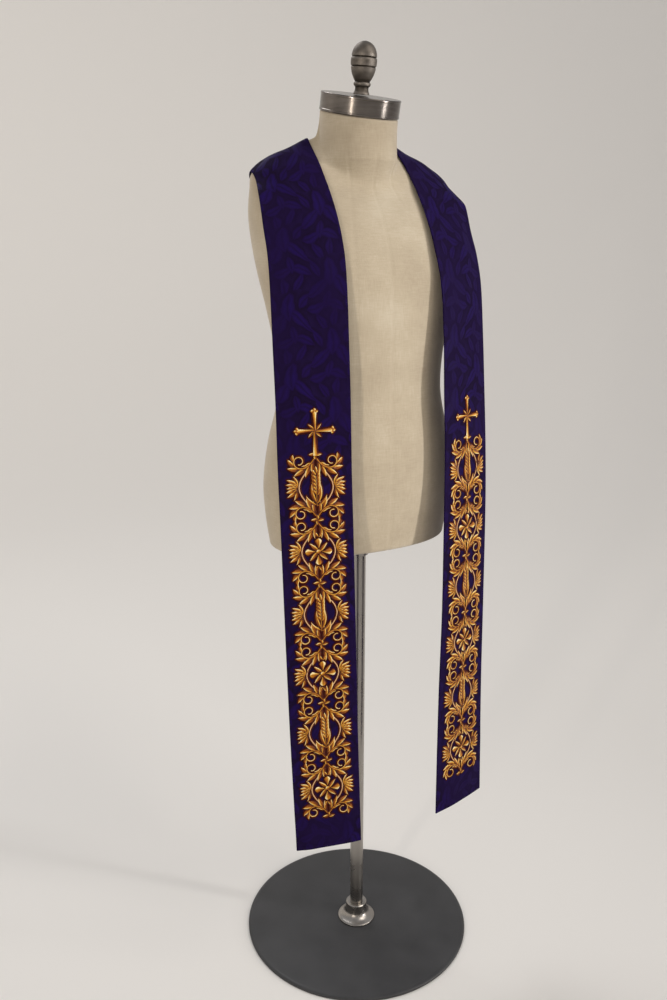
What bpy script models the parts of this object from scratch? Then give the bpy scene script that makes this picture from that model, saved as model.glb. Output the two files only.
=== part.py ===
"""A clerical stole lying round the neck of a limbless dress form.

The stole is two mirrored bands, seamed at the centre back, that lie over the
shoulders and hang straight down in front. The form is a padded torso with a
neck, a metal neck cap and a turned finial, on a post and a round base.

Metres. +Z is up, the form faces -Y and +X is the wearer's left. The origin is
on the floor, under the middle of the base.
"""

import math
import bpy
from mathutils import Vector

# ---------------------------------------------------------------- stole sizes
BAND_WIDTH = 0.117          # finished width of the stole
BAND_WALL = 0.0022          # face, interlining and lining, sewn as one
SEAM_GAP = 0.0003           # between the two halves at the centre back
CLEARANCE = 0.0012          # between the lining and the form where the cloth lies on it
LOWEST_LYING_Z = 1.15       # the bands hang clear of the form below this
STEPS_ACROSS = 9            # faces across the band
STEP_LYING = 0.011          # length of a face where the band bends over the shoulder
STEP_HANGING = 0.021        # length of a face where the band hangs
CROWN = 0.0025              # how far a hanging band bows forward in the middle of its width
PROBE = 0.0015              # step with which the form's slope is measured
SETTLING_STEPS = 7          # moves that bring a point of the cloth onto the form

# One row for each cross line of the left half, from the centre-back seam to the hem.
# x, y, z: the point on the neck-side edge.
# turn: how far the line swings back from the X axis towards +Y, in degrees.
# drop: how far it slopes down to the outer edge, in degrees; negative where it rises.
# length: the line's length in band widths, over 1 where the seam mitres it.
# lie: 1 where the cloth lies on the form, 0 where it hangs free.
BAND_LINES = (
    # place             x        y       z      turn    drop   length  lie
    ("seam",         0.00015,  0.104,  1.392,   90.0,   83.0,  1.41,   1.0),
    ("nape",         0.022,    0.099,  1.412,   40.0,   60.0,  1.20,   1.0),
    ("blade",        0.046,    0.085,  1.436,   18.0,   42.0,  1.04,   1.0),
    ("behind neck",  0.067,    0.063,  1.456,    2.0,   33.0,  1.0,    1.0),
    ("ridge",        0.080,    0.038,  1.467,   -5.0,   26.0,  1.0,    1.0),
    ("over ridge",   0.081,    0.013,  1.443,   -6.0,   20.5,  1.0,    0.8),
    ("collar bone",  0.0825,  -0.033,  1.390,    6.0,   12.0,  0.97,   0.0),
    ("upper chest",  0.0835,  -0.067,  1.340,   15.0,    8.0,  0.99,   0.0),
    ("chest",        0.085,   -0.090,  1.290,   18.0,    3.0,  1.0,    0.0),
    ("breast",       0.088,   -0.104,  1.240,   19.5,    1.0,  1.0,    0.0),
    ("ribs",         0.0895,  -0.113,  1.160,   19.5,    1.0,  1.0,    0.0),
    ("waist",        0.0895,  -0.1195, 1.060,   18.0,    1.0,  1.0,    0.0),
    ("hip",          0.0905,  -0.125,  0.960,   17.0,    1.0,  1.0,    0.0),
    ("thigh",        0.0895,  -0.1295, 0.860,   15.7,    1.0,  1.0,    0.0),
    ("upper knee",   0.0875,  -0.1355, 0.690,   15.0,    1.5,  1.0,    0.0),
    ("knee",         0.0840,  -0.1380, 0.520,   12.5,    2.0,  1.0,    0.0),
    ("hem",          0.0800,  -0.1455, 0.296,    9.5,   -3.4,  1.0,    0.0),
)

# ------------------------------------------------------------------ form sizes
# One row for each level of the torso, from its underside to the top of the neck.
# half width, front and back are its reaches from the level's middle, which lies
# at middle y. squareness is the superellipse power: 2 is an ellipse.
TORSO_LEVELS = (
    # z      half width  middle y  front   back   squareness
    (0.800,   0.164,      0.002,   0.100,  0.108,  2.2),
    (0.850,   0.171,      0.002,   0.106,  0.114,  2.2),
    (0.910,   0.174,      0.002,   0.110,  0.117,  2.2),
    (0.980,   0.166,      0.001,   0.108,  0.107,  2.2),
    (1.060,   0.148,      0.000,   0.101,  0.090,  2.2),
    (1.120,   0.150,      0.000,   0.101,  0.090,  2.2),
    (1.200,   0.164,      0.002,   0.103,  0.100,  2.3),
    (1.260,   0.176,      0.005,   0.101,  0.108,  2.4),
    (1.310,   0.183,      0.012,   0.092,  0.106,  2.4),
    (1.350,   0.186,      0.020,   0.080,  0.094,  2.3),
    (1.385,   0.183,      0.028,   0.064,  0.074,  2.1),
    (1.410,   0.177,      0.032,   0.051,  0.057,  2.1),
    (1.430,   0.147,      0.035,   0.036,  0.043,  2.1),
    (1.447,   0.110,      0.038,   0.022,  0.030,  2.0),
    (1.460,   0.084,      0.038,   0.012,  0.018,  2.0),
    (1.470,   0.060,      0.036,   0.006,  0.008,  2.0),
    (1.530,   0.030,      0.030,   0.002,  0.002,  2.0),
)
TORSO_BOTTOM = TORSO_LEVELS[0][0]
AROUND = 56                 # faces round the torso
SIDE_FACES_CLOSER = 0.72    # below 1, the faces are narrower at the sides than in front
RING_SPACING = (            # from height, to height, number of rings: close at the shoulders
    (0.800, 1.350, 21), (1.350, 1.425, 9), (1.425, 1.476, 10), (1.476, 1.503, 3),
)
LOWER_EDGE_ROLL = 0.006     # rolled edge round the torso's underside and the neck's top
NECK_RADIUS = 0.0625
NECK_ROOT_RADIUS = 0.067    # where the neck runs into the shoulders
NECK_ROOT_Z = 1.430
NECK_ROOT_Y = 0.018         # the neck leans forward from here
NECK_TOP_Z = 1.503
NECK_TOP_Y = 0.010
NECK_FADE_Z = 1.360         # below this the neck lies inside the torso
LEVEL_NECK_Z = 1.472        # the neck's rings start to tilt above this
NECK_CORE = 0.55            # share of the root radius that runs on down inside the torso
BLEND_POWER = 9.0           # a higher power makes a tighter fillet at the neck

CAP_TILT = 14.0             # degrees, its front edge is the lower one
CAP_RADIUS = 0.0645
CAP_HEIGHT = 0.0275
CAP_BEVEL = 0.0012
FINIAL_TILT = 9.0           # degrees forward
FIT_GAP = 0.0003            # between parts that touch

BASE_RADIUS = 0.215
BASE_HEIGHT = 0.007
HUB_RADIUS = 0.036
HUB_HEIGHT = 0.034
POST_RADIUS = 0.0125
FLANGE_RADIUS = 0.040
FLANGE_HEIGHT = 0.006
FLANGE_SLEEVE = 0.026       # how far the flange's sleeve comes down the post
SLEEVE_WALL = 0.0045

# Height above the neck cap and radius, from the foot of the finial to its tip.
FINIAL_PROFILE = (
    (0.0000, 0.0130), (0.0030, 0.0122), (0.0055, 0.0110), (0.0105, 0.0108), (0.0125, 0.0128),
    (0.0150, 0.0136), (0.0172, 0.0128), (0.0185, 0.0120), (0.0230, 0.0146), (0.0310, 0.0180),
    (0.0385, 0.0197), (0.0400, 0.0190), (0.0418, 0.0203), (0.0475, 0.0207), (0.0520, 0.0203),
    (0.0535, 0.0191), (0.0550, 0.0199), (0.0600, 0.0189), (0.0660, 0.0160), (0.0715, 0.0112),
    (0.0755, 0.0052),
)
FINIAL_TIP = 0.0768

COLOURS = {
    "violet damask": (0.035, 0.018, 0.140),
    "cream linen": (0.600, 0.520, 0.400),
    "brushed steel": (0.560, 0.550, 0.540),
    "pewter": (0.200, 0.195, 0.190),
    "grey enamel": (0.060, 0.060, 0.065),
}


# ------------------------------------------------------------------- utilities
def clear_scene():
    """Remove every object that the scene starts with."""
    for thing in list(bpy.data.objects):
        bpy.data.objects.remove(thing, do_unlink=True)


def make_material(name, roughness, metallic=0.0):
    """A Principled material in one of the named colours."""
    material = bpy.data.materials.new(name)
    material.use_nodes = True
    shader = material.node_tree.nodes["Principled BSDF"]
    shader.inputs["Base Color"].default_value = (*COLOURS[name], 1.0)
    shader.inputs["Roughness"].default_value = roughness
    shader.inputs["Metallic"].default_value = metallic
    return material


def smooth_between(knots, values, at):
    """Cubic Hermite interpolation through values at increasing knots."""
    last = len(knots) - 1
    i = 0
    while i < last - 1 and at > knots[i + 1]:
        i += 1

    def slope(k):
        low, high = max(k - 1, 0), min(k + 1, last)
        return (values[high] - values[low]) / (knots[high] - knots[low])

    span = knots[i + 1] - knots[i]
    t = min(max((at - knots[i]) / span, 0.0), 1.0)
    start = values[i] * (2 * t**3 - 3 * t**2 + 1) + slope(i) * (span * (t**3 - 2 * t**2 + t))
    end = values[i + 1] * (3 * t**2 - 2 * t**3) + slope(i + 1) * (span * (t**3 - t**2))
    return start + end


def add_mesh(name, points, faces, material, collection):
    """A smooth-shaded mesh object in the collection."""
    mesh = bpy.data.meshes.new(name)
    mesh.from_pydata(points, [], faces)
    mesh.update()
    mesh.materials.append(material)
    mesh.shade_smooth()
    thing = bpy.data.objects.new(name, mesh)
    collection.objects.link(thing)
    return thing


# ------------------------------------------------------------------------ form
LEVEL_KNOTS = [level[0] for level in TORSO_LEVELS]


def level_at(z):
    """Half width, middle y, front, back and squareness of the torso at a height."""
    half_width, middle, front, back, power = (
        smooth_between(LEVEL_KNOTS, [level[k] for level in TORSO_LEVELS], z) for k in range(1, 6)
    )
    least = TORSO_LEVELS[-1][3]
    return max(half_width, least), middle, max(front, least), max(back, least), power


def neck_at(z):
    """Middle y and radius of the neck at a height, inside the torso below its root."""
    rise = min(max((z - NECK_ROOT_Z) / (NECK_TOP_Z - NECK_ROOT_Z), 0.0), 1.0)
    middle = NECK_ROOT_Y + (NECK_TOP_Y - NECK_ROOT_Y) * rise
    flare = (1.0 - rise)**2
    radius = NECK_RADIUS + (NECK_ROOT_RADIUS - NECK_RADIUS) * flare
    fade = min(max((z - NECK_FADE_Z) / (NECK_ROOT_Z - NECK_FADE_Z), 0.0), 1.0)
    return middle, radius * (NECK_CORE + (1.0 - NECK_CORE) * fade)


def form_reach(z, angle):
    """How far the form reaches from its middle line in one direction at a height."""
    half_width, middle, front, back, power = level_at(z)
    side, depth = math.cos(angle), math.sin(angle)
    reach = back if depth > 0 else front
    torso = ((abs(side) / half_width)**power + (abs(depth) / reach)**power)**(-1.0 / power)
    neck_middle, neck_radius = neck_at(z)
    offset = neck_middle - middle
    neck = offset * depth + math.sqrt(neck_radius**2 - (offset * side)**2)
    return (torso**BLEND_POWER + neck**BLEND_POWER)**(1.0 / BLEND_POWER)


def outside(point):
    """Ratio of a point's distance from the middle line to the form's reach there."""
    middle = level_at(point.z)[1]
    angle = math.atan2(point.y - middle, point.x)
    return math.hypot(point.x, point.y - middle) / form_reach(point.z, angle)


def lay_on_form(point, lie):
    """Move a point along the form's normal: out of the form, and onto it where it lies."""
    if point.z < LOWEST_LYING_Z:
        return point
    start = point.copy()
    for _ in range(SETTLING_STEPS):
        here = outside(point)
        slope = Vector([
            (outside(point + step) - outside(point - step)) / (2 * PROBE)
            for step in (Vector((PROBE, 0, 0)), Vector((0, PROBE, 0)), Vector((0, 0, PROBE)))
        ])
        distance = (here - 1.0) / slope.length
        point = point - slope.normalized() * (distance - CLEARANCE)
    inside = (start - point).dot(slope.normalized()) < 0
    return point if inside else point.lerp(start, 1.0 - lie)


def tilt_of_neck(z):
    """Slope of the level rings, from none at the shoulders to the cap's own tilt."""
    rise = min(max((z - LEVEL_NECK_Z) / (NECK_TOP_Z - LEVEL_NECK_Z), 0.0), 1.0)
    return math.tan(math.radians(CAP_TILT)) * rise


def make_form_body(material, collection):
    """The padded torso and neck: level rings, closed flat below and above."""
    heights = []
    for low, high, count in RING_SPACING:
        heights += [low + (high - low) * k / count for k in range(count)]
    heights.append(NECK_TOP_Z)
    points = []
    for z in heights:
        middle = level_at(z)[1]
        neck_middle = neck_at(z)[0]
        for k in range(AROUND):
            turn = 2 * math.pi * k / AROUND
            angle = math.atan2(SIDE_FACES_CLOSER * math.sin(turn), math.cos(turn))
            reach = form_reach(z, angle)
            y = middle + reach * math.sin(angle)
            points.append((reach * math.cos(angle), y, z + (y - neck_middle) * tilt_of_neck(z)))
    faces = []
    for ring in range(len(heights) - 1):
        for k in range(AROUND):
            following = (k + 1) % AROUND
            low, high = ring * AROUND, (ring + 1) * AROUND
            faces.append((low + k, low + following, high + following, high + k))
    faces.append(tuple(reversed(range(AROUND))))
    faces.append(tuple(range((len(heights) - 1) * AROUND, len(heights) * AROUND)))
    body = add_mesh("form_body", points, faces, material, collection)
    body.data.set_sharp_from_angle(angle=math.radians(50))
    rim = body.modifiers.new("rolled lower edge", "BEVEL")
    rim.width = LOWER_EDGE_ROLL
    rim.segments = 3
    rim.limit_method = "ANGLE"
    rim.angle_limit = math.radians(50)
    return body


def make_neck_cap(material, collection):
    """The metal cap: a short bevelled drum, tilted with the top of the neck."""
    bpy.ops.mesh.primitive_cylinder_add(vertices=48, radius=CAP_RADIUS, depth=CAP_HEIGHT)
    cap = bpy.context.object
    cap.name = "neck_cap"
    tilt = math.radians(CAP_TILT)
    rise = CAP_HEIGHT / 2 + FIT_GAP
    middle = neck_at(NECK_TOP_Z)[0]
    cap.location = (0, middle - math.sin(tilt) * rise, NECK_TOP_Z + math.cos(tilt) * rise)
    cap.rotation_euler = (tilt, 0, 0)
    bevel = cap.modifiers.new("rim", "BEVEL")
    bevel.width = CAP_BEVEL
    bevel.segments = 2
    cap.data.materials.append(material)
    cap.data.shade_smooth()
    cap.data.set_sharp_from_angle(angle=math.radians(40))
    move_to(cap, collection)
    return cap


def move_to(thing, collection):
    """Put an object that an operator made into the collection."""
    for home in list(thing.users_collection):
        home.objects.unlink(thing)
    collection.objects.link(thing)


def turned(name, profile, material, collection, steps):
    """A turned solid: a closed profile at +X, from top to bottom, and a Screw modifier."""
    mesh = bpy.data.meshes.new(name)
    points = [(radius, 0.0, height) for height, radius in profile]
    mesh.from_pydata(points, [(i, i + 1) for i in range(len(points) - 1)], [])
    mesh.materials.append(material)
    thing = bpy.data.objects.new(name, mesh)
    collection.objects.link(thing)
    screw = thing.modifiers.new("turn", "SCREW")
    screw.steps = steps
    screw.render_steps = steps
    screw.use_merge_vertices = True
    screw.merge_threshold = 0.0001
    screw.use_smooth_shade = True
    return thing


def make_finial(cap, material, collection):
    """The turned knob in the middle of the cap, leaning forward with it."""
    profile = [(FINIAL_TIP, 0.0)]
    profile += [(height, radius) for height, radius in reversed(FINIAL_PROFILE)]
    profile += [(0.0, 0.0)]
    finial = turned("finial", profile, material, collection, 24)
    tilt = math.radians(CAP_TILT)
    half = CAP_HEIGHT / 2
    foot_rise = FINIAL_PROFILE[0][1] * math.sin(tilt - math.radians(FINIAL_TILT)) + FIT_GAP
    top = cap.location + Vector((0, -math.sin(tilt), math.cos(tilt))) * half
    finial.location = top + Vector((0, 0, foot_rise))
    finial.rotation_euler = (math.radians(FINIAL_TILT), 0, 0)
    return finial


def make_flange(material, collection):
    """The flange and sleeve that carry the torso on the post."""
    top = TORSO_BOTTOM - FIT_GAP
    under = top - FLANGE_HEIGHT
    sleeve = POST_RADIUS + SLEEVE_WALL
    profile = (
        (top, 0.0), (top, FLANGE_RADIUS), (under, FLANGE_RADIUS), (under - 0.004, sleeve),
        (under - FLANGE_SLEEVE, sleeve), (under - FLANGE_SLEEVE, 0.0),
    )
    return turned("flange", profile, material, collection, 24)


def make_post(material, collection):
    """The round post, from the hub up to the flange's sleeve."""
    top = TORSO_BOTTOM - FLANGE_HEIGHT - FLANGE_SLEEVE - 2 * FIT_GAP
    foot = BASE_HEIGHT + HUB_HEIGHT + 2 * FIT_GAP
    profile = ((top, 0.0), (top, POST_RADIUS), (foot, POST_RADIUS), (foot, 0.0))
    return turned("post", profile, material, collection, 24)


def make_hub(material, collection):
    """The turned hub that holds the post's foot on the base plate."""
    foot = BASE_HEIGHT + FIT_GAP
    top = foot + HUB_HEIGHT
    profile = (
        (top, 0.0), (top, 0.0185), (top - 0.0015, 0.0200), (top - 0.0160, 0.0205),
        (top - 0.0230, 0.0230), (top - 0.0280, 0.0290), (foot + 0.0030, HUB_RADIUS),
        (foot, HUB_RADIUS), (foot, 0.0),
    )
    return turned("hub", profile, material, collection, 24)


def make_base_plate(material, collection):
    """The round plate on the floor, with a bevelled upper edge."""
    profile = (
        (BASE_HEIGHT, 0.0), (BASE_HEIGHT, BASE_RADIUS - 0.006), (BASE_HEIGHT - 0.001, BASE_RADIUS - 0.002),
        (BASE_HEIGHT - 0.003, BASE_RADIUS), (0.001, BASE_RADIUS), (0.0, BASE_RADIUS - 0.001), (0.0, 0.0),
    )
    return turned("base_plate", profile, material, collection, 64)


# ----------------------------------------------------------------------- stole
def band_line_ends():
    """Neck-side and outer ends, the lie and the distance along of every cross line."""
    inner, outer, lies, along = [], [], [], [0.0]
    for _, x, y, z, turn, drop, length, lie in BAND_LINES:
        swing, fall = math.radians(turn), math.radians(drop)
        near = Vector((x, y, z))
        reach = length * BAND_WIDTH
        level = math.cos(fall) * reach
        far = near + Vector((level * math.cos(swing), level * math.sin(swing), -math.sin(fall) * reach))
        if inner:
            centre_step = (near + far - inner[-1] - outer[-1]).length / 2
            along.append(along[-1] + centre_step)
        inner.append(near)
        outer.append(far)
        lies.append(lie)
    return inner, outer, lies, along


def band_stations(lies, along):
    """Distances along the band at which its faces start: short steps where it lies."""
    stations = []
    for row in range(len(along) - 1):
        step = STEP_LYING if lies[row] > 0 or lies[row + 1] > 0 else STEP_HANGING
        count = max(1, round((along[row + 1] - along[row]) / step))
        stations += [along[row] + (along[row + 1] - along[row]) * k / count for k in range(count)]
    return stations + [along[-1]]


def make_half(name, side, material, collection):
    """One half of the stole: a surface laid on the form, given its wall by Solidify."""
    inner, outer, lies, along = band_line_ends()
    points = []
    stations = band_stations(lies, along)
    for at in stations:
        near = smooth_between(along, inner, at)
        far = smooth_between(along, outer, at)
        lie = smooth_between(along, lies, at)
        lie = min(max(lie, 0.0), 1.0)
        forward = Vector((far.y - near.y, near.x - far.x, 0)).normalized()
        for k in range(STEPS_ACROSS + 1):
            across = k / STEPS_ACROSS
            bow = forward * (CROWN * (1.0 - lie) * 4 * across * (1.0 - across))
            point = lay_on_form(near.lerp(far, across) + bow, lie)
            if at == 0.0:
                point.x = SEAM_GAP / 2
            points.append((side * point.x, point.y, point.z))
    faces = []
    row = STEPS_ACROSS + 1
    for i in range(len(stations) - 1):
        for k in range(STEPS_ACROSS):
            corner = i * row + k
            face = (corner, corner + 1, corner + row + 1, corner + row)
            faces.append(face if side < 0 else tuple(reversed(face)))
    half = add_mesh(name, points, faces, material, collection)
    wall = half.modifiers.new("wall", "SOLIDIFY")
    wall.thickness = BAND_WALL
    wall.offset = 1.0
    wall.use_even_offset = True
    return half


# ----------------------------------------------------------------------- build
def build():
    """Make every piece of the stole and its form."""
    clear_scene()
    collection = bpy.data.collections.new("clerical stole on a dress form")
    bpy.context.scene.collection.children.link(collection)
    damask = make_material("violet damask", 0.55)
    linen = make_material("cream linen", 0.85)
    steel = make_material("brushed steel", 0.30, metallic=1.0)
    pewter = make_material("pewter", 0.45, metallic=1.0)
    enamel = make_material("grey enamel", 0.45)
    make_base_plate(enamel, collection)
    make_hub(steel, collection)
    make_post(steel, collection)
    make_flange(steel, collection)
    make_form_body(linen, collection)
    cap = make_neck_cap(steel, collection)
    make_finial(cap, pewter, collection)
    make_half("stole_left_half", 1, damask, collection)
    make_half("stole_right_half", -1, damask, collection)


build()
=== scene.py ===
"""A violet damask stole with gold embroidery, on a linen-covered dress form.

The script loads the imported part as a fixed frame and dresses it: each plain solid is replaced by
the finer piece that it stands for. Metres, +Z up, the form faces -Y, +X is the wearer's left.
"""
import math

import bpy
import numpy as np
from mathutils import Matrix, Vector


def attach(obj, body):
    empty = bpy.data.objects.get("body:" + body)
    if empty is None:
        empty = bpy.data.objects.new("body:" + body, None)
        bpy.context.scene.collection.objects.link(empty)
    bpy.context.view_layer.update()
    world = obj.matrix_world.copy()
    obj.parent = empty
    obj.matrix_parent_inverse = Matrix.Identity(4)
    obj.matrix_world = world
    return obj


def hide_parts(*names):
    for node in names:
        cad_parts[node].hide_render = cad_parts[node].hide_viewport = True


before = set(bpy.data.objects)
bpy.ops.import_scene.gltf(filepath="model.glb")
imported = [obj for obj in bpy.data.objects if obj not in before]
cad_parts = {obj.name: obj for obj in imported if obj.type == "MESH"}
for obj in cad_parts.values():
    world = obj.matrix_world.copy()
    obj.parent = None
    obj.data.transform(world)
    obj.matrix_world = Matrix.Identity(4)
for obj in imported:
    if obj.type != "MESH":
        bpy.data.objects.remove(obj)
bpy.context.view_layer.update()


# ---------------------------------------------------------------------------- studio
# A pale matt floor that sweeps up into a wall all round, under a broad soft key light, with a
# tall strip light on each side of the front and a soft box overhead at the back.
# The camera stands to the wearer's right, a little below the height of the neck.
FLOOR_RADIUS = 3.2          # of the flat part
WALL_RADIUS = 8.5
WALL_HEIGHT = 5.6
FLOOR_SIDES = 96
EYE = (-0.7958, -1.3215, 1.2665)
EYE_TURN = -29.36           # degrees, away from looking along +Y
EYE_DROP = 14.52            # degrees below the level
LENS_MM = 32.4              # on a 36 mm sensor
KEY_FROM = (1.2, -2.2, 3.1)
KEY_SPREAD = 35.0           # degrees across, so its shadows are soft
KEY_STRENGTH = 0.93
LAMPS_AIM = (0, 0, 1.05)    # the middle of the stole
SOFT_BOXES = (
    # name           place                 width  height  spread  watts  colour
    ("left strip",   (-2.14, -1.48, 1.3),  0.10,  1.8,    50,      2.2,  "#fff6ea"),
    ("right strip",  (1.83, -1.85, 1.3),   0.14,  1.8,    50,      5.0,  "#f6f4f2"),
    ("top box",      (-0.3, 1.7, 3.4),     1.00,  1.0,    180,    22.0,  "#ffffff"),
)


def linear(hex_colour):
    """An sRGB hex colour as linear red, green, blue and full alpha."""
    parts = [int(hex_colour[i:i + 2], 16) / 255 for i in (1, 3, 5)]
    return (*(c / 12.92 if c <= 0.04045 else ((c + 0.055) / 1.055)**2.4 for c in parts), 1.0)


def set_inputs(tree, node, inputs):
    """Give each input a value, another node's output, or a node for its first output."""
    for key, value in inputs.items():
        if isinstance(value, bpy.types.Node):
            value = value.outputs[0]
        if isinstance(value, bpy.types.NodeSocket):
            tree.links.new(value, node.inputs[key])
        else:
            node.inputs[key].default_value = value


def add_node(tree, kind, inputs={}, **settings):
    """A node with its settings and what goes into it."""
    node = tree.nodes.new(kind)
    for name, value in settings.items():
        setattr(node, name, value)
    set_inputs(tree, node, inputs)
    return node


def add_math(tree, operation, *values):
    """A node for one operation on numbers, outputs or nodes."""
    return add_node(tree, "ShaderNodeMath", dict(enumerate(values)), operation=operation)


def add_vector_math(tree, operation, *values):
    """A node for one operation on vectors."""
    return add_node(tree, "ShaderNodeVectorMath", dict(enumerate(values)), operation=operation)


def add_wave(tree, place, length):
    """The sine of a place, with one full wave to each length."""
    return add_math(tree, "SINE", add_math(tree, "MULTIPLY", place, 2 * math.pi / length))


def add_range(tree, value, start, end, low=0.0, high=1.0):
    """The value brought from one range to another, and held inside it."""
    return add_node(tree, "ShaderNodeMapRange", {0: value, 1: start, 2: end, 3: low, 4: high})


def add_ramp(tree, value, *stops):
    """A colour for the value, from stops that each have a place and a hex colour."""
    node = add_node(tree, "ShaderNodeValToRGB", {0: value})
    ramp = node.color_ramp
    while len(ramp.elements) < len(stops):
        ramp.elements.new(0.5)
    for element, (place, colour) in zip(ramp.elements, stops):
        element.position = place
        element.color = linear(colour)
    return node


def add_noise(tree, size, detail=2.0, where=None, roughness=0.5, turn=0.0):
    """A noise pattern with features of one size, or of one for each axis, in metres.

    It lies in the object's own coordinates unless it is told where.
    """
    if where is None:
        where = add_node(tree, "ShaderNodeTexCoord").outputs["Object"]
    if isinstance(size, tuple):
        where = add_node(tree, "ShaderNodeMapping", {
            "Vector": where, "Rotation": (turn, 0, 0), "Scale": [1 / s for s in size],
        })
        size = 1.0
    return add_node(tree, "ShaderNodeTexNoise", {
        "Vector": where, "Scale": 1 / size, "Detail": detail, "Roughness": roughness,
    })


def add_bump(tree, height, strength, distance):
    """A normal for the shader, from a height."""
    return add_node(tree, "ShaderNodeBump", {
        "Height": height, "Strength": strength, "Distance": distance,
    })


def new_material(name):
    """A material with its tree and its Principled shader."""
    material = bpy.data.materials.new(name)
    material.use_nodes = True
    return material, material.node_tree, material.node_tree.nodes["Principled BSDF"]


def new_object(name, data):
    """An object with this data, in the scene."""
    made = bpy.data.objects.new(name, data)
    bpy.context.scene.collection.objects.link(made)
    return made


def add_piece(name, points, faces, materials, picks=None):
    """A smooth-shaded mesh object; picks gives each face's place in the materials."""
    mesh = bpy.data.meshes.new(name)
    mesh.from_pydata([tuple(p) for p in points], [], faces)
    for material in materials:
        mesh.materials.append(material)
    if picks is not None:
        mesh.polygons.foreach_set("material_index", picks)
    mesh.shade_smooth()
    return new_object(name, mesh)


def ring_points(profile, around):
    """A ring of points round the Z axis for each pair of height and radius."""
    turns = np.linspace(0, 2 * math.pi, around, endpoint=False)
    return [(radius * math.cos(a), radius * math.sin(a), height)
            for height, radius in profile for a in turns]


def ring_faces(count, around, flip=False):
    """A face over the first ring, faces that join each ring to the next, and one over the last."""
    faces = [tuple(reversed(range(around)))]
    for low in range(0, (count - 1) * around, around):
        for k in range(around):
            after, high = (k + 1) % around, low + around
            faces.append((low + k, low + after, high + after, high + k))
    faces.append(tuple(range((count - 1) * around, count * around)))
    return [face[::-1] for face in faces] if flip else faces


floor_paint, tree, shader = new_material("matt pale floor paint")
# Eggshell paint rolled on smooth board: an even tone with a faint orange-peel.
PEEL = 0.0055               # size of the peel's dimples
peel = add_noise(tree, PEEL, 3.0)
bump = add_bump(tree, peel, 0.05, 0.001)
set_inputs(tree, shader, {"Base Color": linear("#f1eeea"), "Roughness": 0.75, "Normal": bump})

floor_line = [
    (WALL_HEIGHT * (1 - math.cos(a)), FLOOR_RADIUS + (WALL_RADIUS - FLOOR_RADIUS) * math.sin(a))
    for a in np.radians(np.arange(0, 91, 6))
]
faces = ring_faces(len(floor_line), FLOOR_SIDES, flip=True)[:-1]
floor = add_piece("studio_floor", ring_points(floor_line, FLOOR_SIDES), faces, [floor_paint])


def hang_lamp(name, lamp, place):
    """Hang a lamp at a place, aimed at the stole."""
    stand = new_object(name, lamp)
    stand.location = place
    stand.rotation_euler = (Vector(LAMPS_AIM) - Vector(place)).to_track_quat("-Z", "Y").to_euler()
    stand.visible_camera = False


key = bpy.data.lights.new("key", "SUN")
key.energy = KEY_STRENGTH
key.angle = math.radians(KEY_SPREAD)
key.color = linear("#fff8ee")[:3]
hang_lamp("key", key, KEY_FROM)
for name, place, width, height, spread, watts, colour in SOFT_BOXES:
    lamp = bpy.data.lights.new(name, "AREA")
    lamp.shape = "RECTANGLE"
    lamp.size = width
    lamp.size_y = height
    lamp.spread = math.radians(spread)
    lamp.energy = watts
    lamp.color = linear(colour)[:3]
    hang_lamp(name, lamp, place)

world = bpy.data.worlds.new("soft room light")
world.use_nodes = True
tree = world.node_tree
set_inputs(tree, tree.nodes["Background"], {"Color": linear("#e6e6e8"), "Strength": 0.55})
bpy.context.scene.world = world
bpy.context.scene.view_settings.view_transform = "Standard"

eye = bpy.data.cameras.new("camera")
eye.lens = LENS_MM
eye.clip_start = 0.05
camera = new_object("camera", eye)
camera.location = EYE
camera.rotation_euler = (math.radians(90 - EYE_DROP), 0, math.radians(EYE_TURN))
bpy.context.scene.camera = camera


# ------------------------------------------------------------------------- form body
# The padded torso and neck: a moulded shell with a layer of wadding under tight cream linen.
# The cover is sewn from ten panels, so seams run down the middles, the sides and between.
# Each level has its half width, middle y, front and back reach, and squareness.
TORSO_LEVELS = (
    # z      half width  middle y  front   back   squareness
    (0.800,   0.164,      0.002,   0.100,  0.108,  2.2),
    (0.850,   0.171,      0.002,   0.106,  0.114,  2.2),
    (0.910,   0.174,      0.002,   0.110,  0.117,  2.2),
    (0.980,   0.166,      0.001,   0.108,  0.107,  2.2),
    (1.060,   0.148,      0.000,   0.101,  0.090,  2.2),
    (1.120,   0.150,      0.000,   0.101,  0.090,  2.2),
    (1.200,   0.164,      0.002,   0.103,  0.100,  2.3),
    (1.260,   0.176,      0.005,   0.101,  0.108,  2.4),
    (1.310,   0.183,      0.012,   0.092,  0.106,  2.4),
    (1.350,   0.186,      0.020,   0.080,  0.094,  2.3),
    (1.385,   0.183,      0.028,   0.064,  0.074,  2.1),
    (1.410,   0.177,      0.032,   0.051,  0.057,  2.1),
    (1.430,   0.147,      0.035,   0.036,  0.043,  2.1),
    (1.447,   0.110,      0.038,   0.022,  0.030,  2.0),
    (1.460,   0.084,      0.038,   0.012,  0.018,  2.0),
    (1.470,   0.060,      0.036,   0.006,  0.008,  2.0),
    (1.530,   0.030,      0.030,   0.002,  0.002,  2.0),
)
TORSO_BOTTOM = TORSO_LEVELS[0][0]
LEAST_REACH = TORSO_LEVELS[-1][3]
NECK_RADIUS = 0.0625
NECK_ROOT_RADIUS = 0.067
NECK_ROOT_Z = 1.430
NECK_ROOT_Y = 0.018
NECK_TOP_Z = 1.503
NECK_TOP_Y = 0.010
NECK_FADE_Z = 1.360
NECK_CORE = 0.55
LEVEL_NECK_Z = 1.472
TOP_ROLL = 0.003            # the cover rolls over by this much at the top of the neck
BLEND_POWER = 9.0
CAP_TILT = 14.0
SEAM_TURNS = (-90, -57, -24, 15, 52, 90, 128, 165, 204, 237)   # degrees round the body
SEAM_DEPTH = 0.0009
SEAM_HALF_WIDTH = 0.0016
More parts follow.
